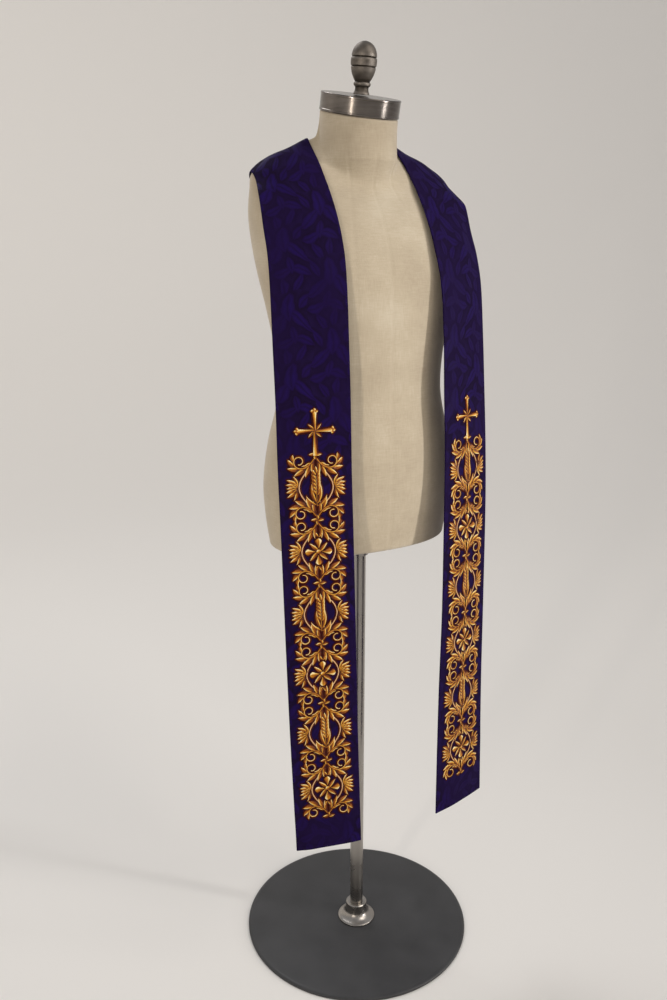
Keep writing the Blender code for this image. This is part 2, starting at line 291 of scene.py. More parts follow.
SEAM_FADE = 0.01            # the seams run out over this height below the neck's own seam
NECK_SEAM_Z = 1.446
PUCKER_DEPTH = 0.00012      # stitches pull the seams in a little, once in each pitch
PUCKER_PITCH = 0.011
BOTTOM_ROLL = 0.006         # the cover rolls under by this much at the bottom
BOTTOM_INSET = 0.030        # the flat underside is drawn from a ring this far in
TOP_INSET = 0.020
BODY_AROUND = 240
SIDE_CROWDING = 0.72        # the rings' points lie closer together towards the sides
SHOULDER_Z = 1.350
BODY_STEP = 0.0048          # height between rings, below the shoulders
SHOULDER_STEP = 0.0022
NECK_RINGS = 11


def smooth_between(knots, values, at):
    """Cubic Hermite interpolation through rows of values at increasing knots."""
    knots, values, at = np.asarray(knots, float), np.asarray(values, float), np.asarray(at, float)
    last = len(knots) - 1
    low = np.maximum(np.arange(last + 1) - 1, 0)
    high = np.minimum(np.arange(last + 1) + 1, last)
    wide = (-1,) + (1,) * (values.ndim - 1)
    slopes = (values[high] - values[low]) / (knots[high] - knots[low]).reshape(wide)
    i = np.clip(np.searchsorted(knots, at) - 1, 0, last - 1)
    span = knots[i + 1] - knots[i]
    t = np.clip((at - knots[i]) / span, 0, 1)
    if values.ndim > 1:
        span, t = span[..., None], t[..., None]
    start = values[i] * (2 * t**3 - 3 * t**2 + 1) + slopes[i] * span * (t**3 - 2 * t**2 + t)
    return start + values[i + 1] * (3 * t**2 - 2 * t**3) + slopes[i + 1] * span * (t**3 - t**2)


def level_at(z):
    """Half width, middle y, front, back and squareness of the torso at these heights."""
    knots = [row[0] for row in TORSO_LEVELS]
    found = smooth_between(knots, [row[1:] for row in TORSO_LEVELS], z)
    half_width, middle, front, back, power = np.moveaxis(found, -1, 0)
    return (np.maximum(half_width, LEAST_REACH), middle, np.maximum(front, LEAST_REACH),
            np.maximum(back, LEAST_REACH), power)


def neck_at(z):
    """Middle y and radius of the neck, which runs on inside the torso below its root."""
    rise = np.clip((z - NECK_ROOT_Z) / (NECK_TOP_Z - NECK_ROOT_Z), 0, 1)
    middle = NECK_ROOT_Y + (NECK_TOP_Y - NECK_ROOT_Y) * rise
    radius = NECK_RADIUS + (NECK_ROOT_RADIUS - NECK_RADIUS) * (1 - rise)**2
    fade = np.clip((z - NECK_FADE_Z) / (NECK_ROOT_Z - NECK_FADE_Z), 0, 1)
    return middle, radius * (NECK_CORE + (1 - NECK_CORE) * fade)


def form_reach(z, angle):
    """How far the form reaches from its middle line in these directions."""
    half_width, middle, front, back, power = level_at(z)
    side, depth = np.cos(angle), np.sin(angle)
    reach = np.where(depth > 0, back, front)
    torso = ((np.abs(side) / half_width)**power + (np.abs(depth) / reach)**power)**(-1 / power)
    neck_middle, neck_radius = neck_at(z)
    offset = neck_middle - middle
    neck = offset * depth + np.sqrt(neck_radius**2 - (offset * side)**2)
    return (torso**BLEND_POWER + neck**BLEND_POWER)**(1 / BLEND_POWER)


def tilt_of_neck(z):
    """Slope of the level rings, from none at the shoulders to the cap's own tilt."""
    rise = np.clip((z - LEVEL_NECK_Z) / (NECK_TOP_Z - TOP_ROLL - LEVEL_NECK_Z), 0, 1)
    return math.tan(math.radians(CAP_TILT)) * rise


linen, tree, shader = new_material("cream linen cover")
# Plain-woven linen, unbleached and stretched: slubby threads in both directions, matt, with
# a slightly darker tone down in the seams and a soft halo of fibre. Threads are 0.5 mm apart;
# they are drawn 1.1 mm apart, which is as fine as shows.
LINEN_THREAD = 0.0011
SLUB = 0.0167               # a thread keeps its thickness over about this length
CLOUD = 0.111               # size of the patches where the cloth has yellowed
upright = add_noise(tree, (LINEN_THREAD, LINEN_THREAD, SLUB))
level = add_noise(tree, (SLUB, SLUB, LINEN_THREAD))
weave = add_math(tree, "ADD", upright, level)
cloud = add_noise(tree, CLOUD, 4.0, roughness=0.6)
tone = add_math(tree, "MULTIPLY", weave, 0.22)
tone = add_math(tree, "MULTIPLY_ADD", cloud, 0.65, tone)
colour = add_ramp(tree, tone, (0.32, "#a0917b"), (0.55, "#b3a58e"), (0.77, "#c5baa5"))
bump = add_bump(tree, weave, 0.35, 0.0004)
set_inputs(tree, shader, {
    "Base Color": colour, "Normal": bump, "Roughness": 0.88, "Sheen Weight": 0.25,
    "Sheen Roughness": 0.5,
})

rings = np.concatenate([
    np.arange(TORSO_BOTTOM + BOTTOM_ROLL, SHOULDER_Z, BODY_STEP),
    np.arange(SHOULDER_Z, LEVEL_NECK_Z, SHOULDER_STEP),
    np.linspace(LEVEL_NECK_Z, NECK_TOP_Z - TOP_ROLL, NECK_RINGS),
])
turns = np.linspace(0, 2 * math.pi, BODY_AROUND, endpoint=False)
angles = np.arctan2(SIDE_CROWDING * np.sin(turns), np.cos(turns))
heights, angles = np.meshgrid(rings, angles, indexing="ij")
reach = form_reach(heights, angles)
seams = np.zeros_like(reach)
for seam in SEAM_TURNS:
    off = (angles - math.radians(seam) + math.pi) % (2 * math.pi) - math.pi
    seams = np.maximum(seams, np.exp(-(off * reach / SEAM_HALF_WIDTH)**2))
seams = seams * np.clip((NECK_SEAM_Z - heights) / SEAM_FADE, 0, 1)
pucker = np.sin(heights * 2 * math.pi / PUCKER_PITCH) * PUCKER_DEPTH
reach = reach - (SEAM_DEPTH + pucker) * seams
across_y = level_at(heights)[1] + reach * np.sin(angles)
lift = (across_y - neck_at(heights)[0]) * tilt_of_neck(heights)
body = np.stack([reach * np.cos(angles), across_y, heights + lift], -1)


def closed_ring(ring, drop, inset):
    """A copy of a ring, moved along Z by drop and in towards its middle by inset."""
    spokes = ring - ring.mean(0)
    size = np.linalg.norm(spokes[:, :2], axis=1, keepdims=True)
    return ring - spokes * inset / size + (0, 0, drop)


under = [closed_ring(body[0], -BOTTOM_ROLL * math.sin(a), BOTTOM_ROLL * (1 - math.cos(a)))
         for a in np.radians((90, 67, 45, 22))]
over = [closed_ring(body[-1], TOP_ROLL * math.sin(a), TOP_ROLL * (1 - math.cos(a)))
        for a in np.radians((30, 60, 90))]
underside = closed_ring(under[0], 0, BOTTOM_INSET)
top = closed_ring(over[-1], 0, TOP_INSET)
layers = np.concatenate([[underside], under, body, over, [top]])
faces = ring_faces(len(layers), BODY_AROUND)
form_cover = add_piece("form_linen_cover", layers.reshape(-1, 3), faces, [linen])
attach(form_cover, "root")
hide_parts("form_body")


# --------------------------------------------------------------------- stole halves
# Two bands of figured silk and rayon damask, mirror images, mitred and sewn together at the
# centre back. Each has a canvas interlining and a plain lining; the face is turned over both
# long edges and the hem, pressed, and the lining is slip-stitched down just inside them.
BAND_WIDTH = 0.117
BAND_WALL = 0.0022
SEAM_GAP = 0.0003
CLEARANCE = 0.0012          # between the lining and the form's cover
LOWEST_LYING_Z = 1.15
CROWN = 0.0025              # how far a hanging band bows forward in its middle
PROBE = 0.0015
SETTLING_STEPS = 7
CALMING_PASSES = 8          # cloth bridges the hollow where the neck meets the shoulders
ROW_STEP = 0.0036
# Each cross line has its neck-side point, its turn back from the X axis and its drop to the
# outer edge in degrees, its length in band widths, and how far the cloth lies on the form.
BAND_LINES = (
    # place             x        y       z      turn    drop   length  lie
    ("seam",         0.00015,  0.104,  1.392,   90.0,   83.0,  1.41,   1.0),
    ("nape",         0.022,    0.099,  1.412,   40.0,   60.0,  1.20,   1.0),
    ("blade",        0.046,    0.085,  1.436,   18.0,   42.0,  1.04,   1.0),
    ("behind neck",  0.067,    0.063,  1.456,    2.0,   33.0,  1.0,    1.0),
    ("ridge",        0.080,    0.038,  1.467,   -5.0,   26.0,  1.0,    1.0),
    ("over ridge",   0.081,    0.013,  1.443,   -6.0,   20.5,  1.0,    0.8),
    ("collar bone",  0.0825,  -0.033,  1.390,    6.0,   12.0,  0.97,   0.0),
    ("upper chest",  0.0835,  -0.067,  1.340,   15.0,    8.0,  0.99,   0.0),
    ("chest",        0.085,   -0.090,  1.290,   18.0,    3.0,  1.0,    0.0),
    ("breast",       0.088,   -0.104,  1.240,   19.5,    1.0,  1.0,    0.0),
    ("ribs",         0.0895,  -0.113,  1.160,   19.5,    1.0,  1.0,    0.0),
    ("waist",        0.0895,  -0.1195, 1.060,   18.0,    1.0,  1.0,    0.0),
    ("hip",          0.0905,  -0.125,  0.960,   17.0,    1.0,  1.0,    0.0),
    ("thigh",        0.0895,  -0.1295, 0.860,   15.7,    1.0,  1.0,    0.0),
    ("upper knee",   0.0875,  -0.1355, 0.690,   15.0,    1.5,  1.0,    0.0),
    ("knee",         0.0840,  -0.1380, 0.520,   12.5,    2.0,  1.0,    0.0),
    ("hem",          0.0800,  -0.1455, 0.296,    9.5,   -3.4,  1.0,    0.0),
)
EDGE_SHARES = (0.0, 0.0045, 0.012, 0.022, 0.032, 0.0385, 0.048, 0.066)   # of the width
FIELD_SHARES = np.linspace(0.094, 0.906, 28)
FOLDED_EDGE = 0.0045        # how far the face is turned over onto the back
HEM_ROWS = (0.0047, 0.0044, 0.0030, 0.0018, 0.0011, 0.0007, 0.0004, 0.00015, 0.0)    # above the hem
LINING_STEP = 0.00025       # the lining lies this much lower than the turned face
EDGE_RIDGE = 0.00030        # the turnings under the face raise it beside the edges
RIDGE_INSET = 0.0030
RIDGE_SPREAD = 0.0022
EDGE_TURN = 0.0024          # width of the damask on its way round an edge
EDGE_FACINGS = (55, 0, -55)    # of the points round it, in degrees from straight out
HEM_CORE = 0.04             # square of the least share of the wall's thickness, at the hem
# Soft ridges that hanging and bending leave in each half.
# up: metres above the hem; across: share of the width from the neck side; slant in degrees
# from the band's own line; length, width and height in metres.
CREASES = {
    "left": (
        # up     across  slant  length  width   height
        (1.160,   0.30,    62,  0.075,  0.013,  0.0016),
        (1.120,   0.75,    70,  0.060,  0.012,  0.0012),
        (0.990,   0.62,     8,  0.240,  0.022,  0.0020),
        (0.780,   0.22,     4,  0.300,  0.018,  0.0014),
        (0.560,   0.80,     3,  0.340,  0.016,  0.0013),
        (0.300,   0.30,     5,  0.300,  0.020,  0.0015),
        (0.070,   0.78,    12,  0.110,  0.015,  0.0017),
        (0.030,   0.35,     6,  0.080,  0.018,  0.0012),
    ),
    "right": (
        (1.175,   0.55,    66,  0.085,  0.014,  0.0019),
        (1.130,   0.22,    74,  0.055,  0.011,  0.0013),
        (1.010,   0.35,     6,  0.230,  0.020,  0.0017),
        (0.830,   0.74,     4,  0.290,  0.018,  0.0015),
        (0.520,   0.25,     3,  0.360,  0.018,  0.0012),
        (0.250,   0.72,     6,  0.260,  0.017,  0.0014),
        (0.055,   0.20,    10,  0.100,  0.016,  0.0019),
        (0.025,   0.85,    20,  0.060,  0.014,  0.0024),
    ),
}


def unit(vectors):
    """The same vectors, each of length one."""
    return vectors / np.linalg.norm(vectors, axis=-1, keepdims=True)


def outside(points):
    """Ratio of each point's distance from the middle line to the form's reach there."""
    middle = level_at(points[..., 2])[1]
    depth = points[..., 1] - middle
    angle = np.arctan2(depth, points[..., 0])
    return np.hypot(points[..., 0], depth) / form_reach(points[..., 2], angle)


def lay_on_form(points, lie):
    """Points moved along the form's normal: out of the form, and onto it where they lie."""
    start = points
    steps = np.eye(3) * PROBE
    for _ in range(SETTLING_STEPS):
        slopes = [(outside(points + s) - outside(points - s)) / (2 * PROBE) for s in steps]
        slope = np.stack(slopes, -1)
        length = np.linalg.norm(slope, axis=-1, keepdims=True)
        distance = (outside(points) - 1)[..., None] / length
        points = points - slope / length * (distance - CLEARANCE)
    inside = ((start - points) * slope).sum(-1) < 0
    share = np.where(inside, 0.0, 1 - lie)[..., None]
    laid = points + (start - points) * share
    return np.where(start[..., 2:] < LOWEST_LYING_Z, start, laid)


ends = np.array([row[1:] for row in BAND_LINES])
near, swing, fall = ends[:, :3], np.radians(ends[:, 3]), np.radians(ends[:, 4])
reach, lies = ends[:, 5] * BAND_WIDTH, ends[:, 6]
far = near + np.stack([
    np.cos(fall) * np.cos(swing) * reach,
    np.cos(fall) * np.sin(swing) * reach,
    -np.sin(fall) * reach,
], -1)
centre_steps = np.linalg.norm(np.diff(near + far, axis=0), axis=1) / 2
along = np.concatenate([[0], np.cumsum(centre_steps)])
BAND_LENGTH = along[-1]

stations = np.linspace(0, BAND_LENGTH - HEM_ROWS[0], round(BAND_LENGTH / ROW_STEP) + 1)
stations = np.concatenate([stations[:-1], BAND_LENGTH - np.array(HEM_ROWS)])
shares = np.concatenate([EDGE_SHARES, FIELD_SHARES, [1 - s for s in reversed(EDGE_SHARES)]])
neck_side = smooth_between(along, near, stations)
outer_side = smooth_between(along, far, stations)
lying = np.clip(smooth_between(along, lies, stations), 0, 1)
forward = unit(np.stack([
    outer_side[:, 1] - neck_side[:, 1], neck_side[:, 0] - outer_side[:, 0], np.zeros(len(stations)),
], -1))
share = shares[None, :, None]
bow = forward[:, None] * (CROWN * (1 - lying)[:, None, None] * 4 * share * (1 - share))
raw = neck_side[:, None] + (outer_side - neck_side)[:, None] * share + bow
lining_side = lay_on_form(raw, np.repeat(lying[:, None], len(shares), 1))
calm = lining_side.copy()
for _ in range(CALMING_PASSES):
    calm[1:-1] = (calm[:-2] + 2 * calm[1:-1] + calm[2:]) / 4
lining_side += (calm - lining_side) * lying[:, None, None]
lining_side = lay_on_form(lining_side, np.zeros(lining_side.shape[:2]))
lining_side[0, :, 0] = SEAM_GAP / 2
from_sides = np.minimum(shares, 1 - shares) * BAND_WIDTH
from_edge = np.minimum(from_sides, (BAND_LENGTH - stations)[:, None])


def normals_of(grid):
    """Unit normals of a grid of points, on the side away from the form."""
    return unit(np.cross(np.gradient(grid, axis=0), np.gradient(grid, axis=1)))


def crease_height(creases):
    """How far the soft ridges lift each point of the band."""
    up = (BAND_LENGTH - stations)[:, None]
    over = shares[None, :] * BAND_WIDTH
    height = np.zeros((len(stations), len(shares)))
    for place, across, slant, length, width, rise in creases:
        turn = math.radians(slant)
        dx, dy = over - across * BAND_WIDTH, up - place
        lengthwise = dy * math.cos(turn) + dx * math.sin(turn)
        crosswise = dx * math.cos(turn) - dy * math.sin(turn)
        height += rise * np.exp(-(crosswise / width)**2 - (2 * lengthwise / length)**4)
    return height


def make_half_surface(side):
    """Lining-side and face-side grids of one half, with its normals."""
    sign = 1 if side == "left" else -1
    normals = normals_of(lining_side)
    lift = crease_height(CREASES[side])
    lift[0] = 0
    ridge = EDGE_RIDGE * np.exp(-((from_edge - RIDGE_INSET) / RIDGE_SPREAD)**2)
    back = lining_side + normals * lift[..., None]
    face = back + normals * (BAND_WALL + ridge)[..., None]
    mirror = np.array((sign, 1, 1))
    return back * mirror, face * mirror, normals * mirror


def make_half_cloth(side, damask, lining):
    """One half, with its face, turned edges and lining as one closed wall, and UVs in metres."""
    back, face, normals = make_half_surface(side)
    sunk = back + normals * (LINING_STEP * (from_edge > FOLDED_EDGE))[..., None]
    middle = (back + face) / 2
    out = BAND_WALL / 2
    neck_way = unit(back[:, :1] - back[:, 1:2])
    outer_way = unit(back[:, -1:] - back[:, -2:-1])
    # The section runs over the face from the neck side, round the outer edge and back.
    turns = np.radians(EDGE_FACINGS)
    edge = len(turns)
    rim = [middle[:, -2:-1] + (outer_way * math.cos(a) + normals[:, -2:-1] * math.sin(a)) * out
           for a in turns]
    rim_back = [middle[:, 1:2] + (neck_way * math.cos(a) - normals[:, 1:2] * math.sin(a)) * out
                for a in turns]
    section = np.concatenate([face[:, 1:-1], *rim, sunk[:, -2:0:-1], *rim_back], axis=1)
    # Near the hem the section closes in on the wall's middle, so the folded hem is round.
    core = np.concatenate([middle[:, 1:-1], *[middle[:, -2:-1]] * edge, middle[:, -2:0:-1],
                           *[middle[:, 1:2]] * edge], axis=1)
    hem_share = np.clip((BAND_LENGTH - stations) / out, 0, 1)
    fullness = np.sqrt(np.maximum(1 - (1 - hem_share)**2, HEM_CORE))
    section = core + (section - core) * fullness[:, None, None]
    # Across the band, u runs on from the face round one edge, over the back and round the other.
    flat = shares[1:-1] * BAND_WIDTH
    round_edge = BAND_WIDTH + EDGE_TURN * np.arange(1, 2 * edge, 2) / (2 * edge)
    closing = 2 * (BAND_WIDTH + EDGE_TURN)
    u = np.concatenate([flat, round_edge, closing - EDGE_TURN - flat[::-1],
                        round_edge + BAND_WIDTH + EDGE_TURN])
    rows, cols = section.shape[:2]
    count = len(flat)
    faces, picks, uvs = [], [], []
    for i in range(rows - 1):
        for k in range(cols):
            after = (k + 1) % cols
            ring = (i * cols + k, (i + 1) * cols + k, (i + 1) * cols + after, i * cols + after)
            u0, u1 = u[k], u[after] if after else closing
            v0, v1 = stations[i], stations[i + 1]
            corners = [(u0, v0), (u0, v1), (u1, v1), (u1, v0)]
            on_back = count + edge <= k < cols - edge - 1
            inset = from_edge[i + 1, -2 - (k - count - edge)] if on_back else 0
            picks.append(1 if inset > FOLDED_EDGE else 0)
            if side == "right":
                ring, corners = ring[::-1], corners[::-1]
            faces.append(ring)
            uvs += corners
    for row, flip in ((0, side == "left"), (rows - 1, side == "right")):
        ring = list(range(row * cols, (row + 1) * cols))
        top, low = ring[:count], ring[count + edge:-edge][::-1]
        strips = [(top[k], top[k + 1], low[k + 1], low[k]) for k in range(count - 1)]
        strips += [(top[-1], *ring[count:count + edge], low[-1]), (low[0], *ring[-edge:], top[0])]
        for strip in strips:
            faces.append(strip if flip else strip[::-1])
            picks.append(0)
            uvs += [(u[v - ring[0]], stations[row]) for v in faces[-1]]
    half = add_piece(f"{side}_half_damask", section.reshape(-1, 3), faces, [damask, lining], picks)
    layer = half.data.uv_layers.new(name="cloth")
    layer.data.foreach_set("uv", np.array(uvs, np.float32).ravel())
    return half


damask, tree, shader = new_material("violet silk and rayon damask")
# A leaf damask: warp-faced satin leaves, bluer and brighter, on a duller weft-faced ground that
# turns nearly black beside them, so the figure shows by its shine as much as by its colour.
# In broad random patches the figure is painted fading into one flat tone, as though the cloth
# lay away from the light: painted shade.
# Threads are 0.2 mm apart; they are drawn 0.9 mm apart, which is as fine as shows.
REPEAT_ACROSS = 0.0585      # two columns to the band, one half a repeat above the other
REPEAT_ALONG = 0.104
WEAVE = 0.0009
VEIN = -0.0005
SWAY = 0.0050               # the columns' stems wind from side to side
TILT = 0.0035               # one side of each sprig stands higher than the other
LOBE = 0.0143               # size of the lobes along a leaf's edge
LOBE_DEPTH = 0.007
WEAR_PATCH = 0.0263         # of slightly uneven tone
PAINTED_FADE_ACROSS, PAINTED_FADE_ALONG = 0.091, 0.167    # of the painted-shade patches, where the figure fades
DAMASK_LEAVES = (
    # middle of leaf       half     half     lean in degrees;
    # across    along      width    length   each is mirrored in the column's middle
    (0.0,      -0.0290,    0.0105,  0.0225,    0),
    (0.0170,   -0.0070,    0.0090,  0.0215,  -40),
    (0.0150,    0.0225,    0.0080,  0.0170,  -66),
    (0.0105,    0.0420,    0.0066,  0.0140,   24),
    (0.0250,   -0.0370,    0.0070,  0.0155,   28),
    (0.0,       0.0130,    0.0066,  0.0135,    0),
)
cloth = add_node(tree, "ShaderNodeUVMap", uv_map="cloth")
flat = add_node(tree, "ShaderNodeSeparateXYZ", {0: cloth})
sway = add_wave(tree, flat.outputs[1], REPEAT_ALONG)
sway = add_math(tree, "MULTIPLY_ADD", sway, SWAY, flat)
columns = add_math(tree, "DIVIDE", sway, REPEAT_ACROSS)
column = add_math(tree, "FLOOR", columns)
tilt = add_wave(tree, columns, 1.0)
tilt = add_math(tree, "MULTIPLY_ADD", tilt, TILT, flat.outputs[1])
rows = add_math(tree, "DIVIDE", tilt, REPEAT_ALONG)
rows = add_math(tree, "MULTIPLY_ADD", column, 0.5, rows)
x_share = add_math(tree, "FRACT", columns)
y_share = add_math(tree, "FRACT", rows)
cell_x = add_math(tree, "MULTIPLY_ADD", x_share, REPEAT_ACROSS, -REPEAT_ACROSS / 2)
cell_x = add_math(tree, "ABSOLUTE", cell_x)
cell_y = add_math(tree, "MULTIPLY_ADD", y_share, REPEAT_ALONG, -REPEAT_ALONG / 2)
cell = add_node(tree, "ShaderNodeCombineXYZ", {0: cell_x, 1: cell_y})
lobes = add_noise(tree, LOBE, 1.0, where=cell)
lobes = add_vector_math(tree, "ADD", lobes.outputs["Color"], (-0.5, -0.5, -0.5))
cell = add_vector_math(tree, "MULTIPLY_ADD", lobes, (LOBE_DEPTH, LOBE_DEPTH, 0), cell)
nearest = None
for across, along_cell, half_width, half_length, lean in DAMASK_LEAVES:
    arc = (half_width**2 + half_length**2) / (2 * half_width)
    spot = add_node(tree, "ShaderNodeMapping", {
        "Vector": cell, "Location": (across, along_cell, 0), "Rotation": (0, 0, math.radians(lean)),
    }, vector_type="TEXTURE")
    spot = add_vector_math(tree, "ABSOLUTE", spot)
    to_arc = add_vector_math(tree, "ADD", spot, (arc - half_width, 0, 0))
    to_arc = add_vector_math(tree, "LENGTH", to_arc)
    leaf = add_math(tree, "SUBTRACT", to_arc.outputs["Value"], arc)
    parts = add_node(tree, "ShaderNodeSeparateXYZ", {0: spot})
    vein = add_math(tree, "SUBTRACT", VEIN, parts)
    leaf = add_math(tree, "MAXIMUM", leaf, vein)
    if nearest:
        leaf = add_math(tree, "MINIMUM", leaf, nearest)
    nearest = leaf
figure = add_range(tree, nearest, 0.0006, -0.0014)
zone = add_range(tree, nearest, -0.006, 0.012)
wear = add_noise(tree, WEAR_PATCH, 3.0, where=cloth)
wear = add_math(tree, "MULTIPLY_ADD", wear, 0.16, -0.08)
zone = add_math(tree, "ADD", zone, wear)
colour = add_ramp(tree, zone, (0.05, "#1f124a"), (0.24, "#1d103e"), (0.37, "#170d24"),
                  (0.55, "#190f2b"), (0.85, "#1c1134"))
# Painted shade: in broad random patches the figure fades into one flat tone.
lie = add_noise(tree, (PAINTED_FADE_ACROSS, PAINTED_FADE_ALONG, 1.0), where=cloth)
painted_fade = add_range(tree, lie, 0.38, 0.60, 0.0, 0.76)
colour = add_node(tree, "ShaderNodeMix", {
    0: painted_fade, 6: colour, 7: linear("#1c1035"),
}, data_type="RGBA")
threads = [add_wave(tree, way, WEAVE) for way in flat.outputs[:2]]
threads = add_node(tree, "ShaderNodeMix", {0: figure, 2: threads[1], 3: threads[0]})
relief = add_math(tree, "MULTIPLY_ADD", figure, 2.5, threads)
bump = add_bump(tree, relief, 0.3, 0.00006)
gloss = add_range(tree, figure, 0.0, 1.0, 0.66, 0.46)
set_inputs(tree, shader, {
    "Base Color": colour.outputs[2], "Normal": bump, "Roughness": gloss, "Specular IOR Level": 0.02,
})

lining, tree, shader = new_material("plum taffeta lining")
# Plain taffeta, finely ribbed across and a little crisp, with a faint watered change of tone.
WATER_ACROSS, WATER_ALONG = 0.0714, 0.0167
cloth = add_node(tree, "ShaderNodeUVMap", uv_map="cloth")
flat = add_node(tree, "ShaderNodeSeparateXYZ", {0: cloth})
water = add_noise(tree, (WATER_ACROSS, WATER_ALONG, 1.0), 3.0, where=cloth)
colour = add_ramp(tree, water, (0.35, "#24123c"), (0.65, "#2f1a4a"))
rib = add_wave(tree, flat.outputs[1], WEAVE)
bump = add_bump(tree, rib, 0.4, 0.0001)
set_inputs(tree, shader, {
    "Base Color": colour, "Normal": bump, "Roughness": 0.5, "Specular IOR Level": 0.35,
})

for side in ("left", "right"):
    half = make_half_cloth(side, damask, lining)
    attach(half, "root")
    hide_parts(f"stole_{side}_half")


# ---------------------------------------------------------------------- embroidery
# Machine satin stitch in gold rayon over felt padding, outlined in flat maroon, on the lower
# half of each band: a budded cross over a chain of ogee frames in rose-gold line stitch, with
# leaf sprays where they join and quatrefoils and wheat ears in turn inside them.
FOOT_ABOVE_HEM = 0.0595     # the ornament is drawn flat, in mm: x from the middle, y up from here
FRAMES = 6
FRAME_MM = 626.0 / FRAMES
FRAME_HALF_WIDTH_MM = 27.0
FRAME_TIP_MM = 1.0          # half the gap between the two lines where frames meet
FRAME_LINE_HALF_MM = 1.1
FRAME_POINTS = 70
CROSS_Y_MM = 663.0
STEP_MM = 1.6
ROUND_STEPS = 16            # of petals and buds, closer together towards their round ends
SPLIT_HALF_MM = 1.8         # wider leaves are worked in two rows that meet in a sunken midrib
SPRAY_SCALE = 0.88
# A stroke bends steadily: turn in and turn out are its bending at its two ends, in degrees
# for each stroke's length. half is half of its greatest width.
# The scroll has its x, y, heading, length, turn in, turn out and half.
SCROLL = (1.5, -8.0, -55.0, 90.0, 20.0, 850.0, 1.9)
SPRAY_LEAVES = (
    # share of  angle to   length  turn  turn   half
    # scroll    scroll             in    out
    (0.03,      -24,       24,      10,   -60,  3.2),
    (0.15,      -36,       24,      60,   -60,  4.1),
    (0.27,      -38,       24,      90,   -50,  4.5),
    (0.38,      -40,       22,     110,   -40,  4.5),
    (0.48,      -44,       18,     120,   -40,  4.2),
    (0.57,      -46,       14,     120,   -30,  3.5),
    (0.10,       38,       14,     -60,    60,  2.6),
    (0.20,       42,       12,     -40,    40,  2.3),
)
PALMETTE_GAP_MM = 2.5       # from the frame to the roots of the fan
PALMETTE_STEP_MM = 0.03     # from root to root, for each degree between their headings
PALMETTE = (
    # heading  length  half  turn in  turn out
    (0,        16.5,   4.2,    0,       0),
    (30,       18.5,   3.9,  -40,       0),
    (-30,      18.5,   3.9,   40,       0),
    (58,       20.5,   3.4,  -60,     -10),
    (-58,      20.5,   3.4,   60,      10),
    (84,       18.0,   2.4,  -20,     -50),
    (-84,      18.0,   2.4,   20,      50),
)
CROSS_ARMS = ((90, 30.0), (0, 28.0), (180, 28.0), (270, 39.0))    # heading, length
GRAINS = 6
LIFT_MM = {"leaf": 0.30, "even": 0.15, "vine": 0.60, "bar": 0.50, "drop": 0.50, "knot": 0.75}
OUTLINE_MM = 3.1            # how far the outline stands out all round a shape
OUTLINE_TIP_MM = 2.2        # how far it runs on past each end
OUTLINE_TIP_HALF_MM = 1.1
FULL_RISE_HALF = 0.0025     # half width at which a satin stroke has its full rise
LEAST_RISE = 0.35           # share of the rise that the narrowest ones keep
UNDERSIDE = -0.15           # their flat bottom, as a share of the rise
MIDRIB_SHARE = 0.3          # of the half width, sunk by MIDRIB_DEPTH of the rise in the middle
MIDRIB_DEPTH = 0.55


def toward(heading, reach=1.0):
    """The point that lies this far from the origin, in a direction given in degrees."""
    turn = math.radians(heading)
    return np.array((reach * math.cos(turn), reach * math.sin(turn)))


def width_along(shape, share):
    """Share of a stroke's greatest half width at each share of its length."""
    if shape == "leaf":
        return np.sin(math.pi * share**0.72)**0.85 + 0.03
    if shape == "drop":
        return np.sin(math.pi / 2 * share**1.9) * np.sqrt(np.clip((1 - share) / 0.22, 0, 1)) + 0.04
    if shape == "knot":
        return np.sqrt(np.clip(1 - (2 * share - 1)**2, 0.02, 1))
    if shape == "bar":
        return 0.49 + 0.51 * share**2
    if shape == "vine":
        return 1 - 0.55 * share
    return np.ones_like(share)


def stroke(x, y, heading, length, turn_in, turn_out, half, shape):
    """A flat stroke: its points, half widths, shares of its length, hand and shape."""
    if shape in ("drop", "knot"):
        share = (1 - np.cos(np.linspace(0, math.pi, ROUND_STEPS + 1))) / 2
    else:
        share = np.linspace(0, 1, max(6, round(length / STEP_MM)) + 1)
    angle = np.radians(heading + turn_in * share + (turn_out - turn_in) * share**2 / 2)
    middle = (angle[1:] + angle[:-1]) / 2
    steps = np.diff(share) * length
    points = np.stack([
        x + np.concatenate([[0], np.cumsum(np.cos(middle) * steps)]),
        y + np.concatenate([[0], np.cumsum(np.sin(middle) * steps)]),
    ], -1)
    return points, half * width_along(shape, share), share, 1, shape


def moved(strokes, up=0.0, flip_x=1, flip_y=1, scale=1.0):
    """Strokes scaled and mirrored about the origin, then moved up."""
    return [
        (points * (flip_x * scale, flip_y * scale) + (0, up), half * scale, share,
         hand * flip_x * flip_y, shape)
        for points, half, share, hand, shape in strokes
    ]


def spray():
    """A scroll with leaves along it, to the right of and below the origin."""
    scroll = stroke(*SCROLL, "vine")
    strokes = []
    for share, side, length, turn_in, turn_out, half in SPRAY_LEAVES:
        i = round(share * (len(scroll[0]) - 1))
        run = scroll[0][i + 1] - scroll[0][i]
        heading = math.degrees(math.atan2(run[1], run[0])) + side
        strokes.append(stroke(*scroll[0][i], heading, length, turn_in, turn_out, half, "leaf"))
    return strokes + [scroll]


def join_knot(headings):
    """Pointed petals where two frames meet."""
    return [stroke(0, 0, heading, 10, 0, 0, 2.5, "leaf") for heading in headings]


def ogee_frame():
    """The two sides of a frame round the origin, which meet the next frames at its points."""
    y = np.linspace(-FRAME_MM / 2, FRAME_MM / 2, FRAME_POINTS)
    x = FRAME_TIP_MM + (FRAME_HALF_WIDTH_MM - FRAME_TIP_MM) * np.cos(math.pi * y / FRAME_MM)**2
    half = np.full(FRAME_POINTS, FRAME_LINE_HALF_MM)
    share = np.linspace(0, 1, FRAME_POINTS)
    return [(np.stack([flip * x, y], -1), half, share, flip, "even") for flip in (1, -1)]


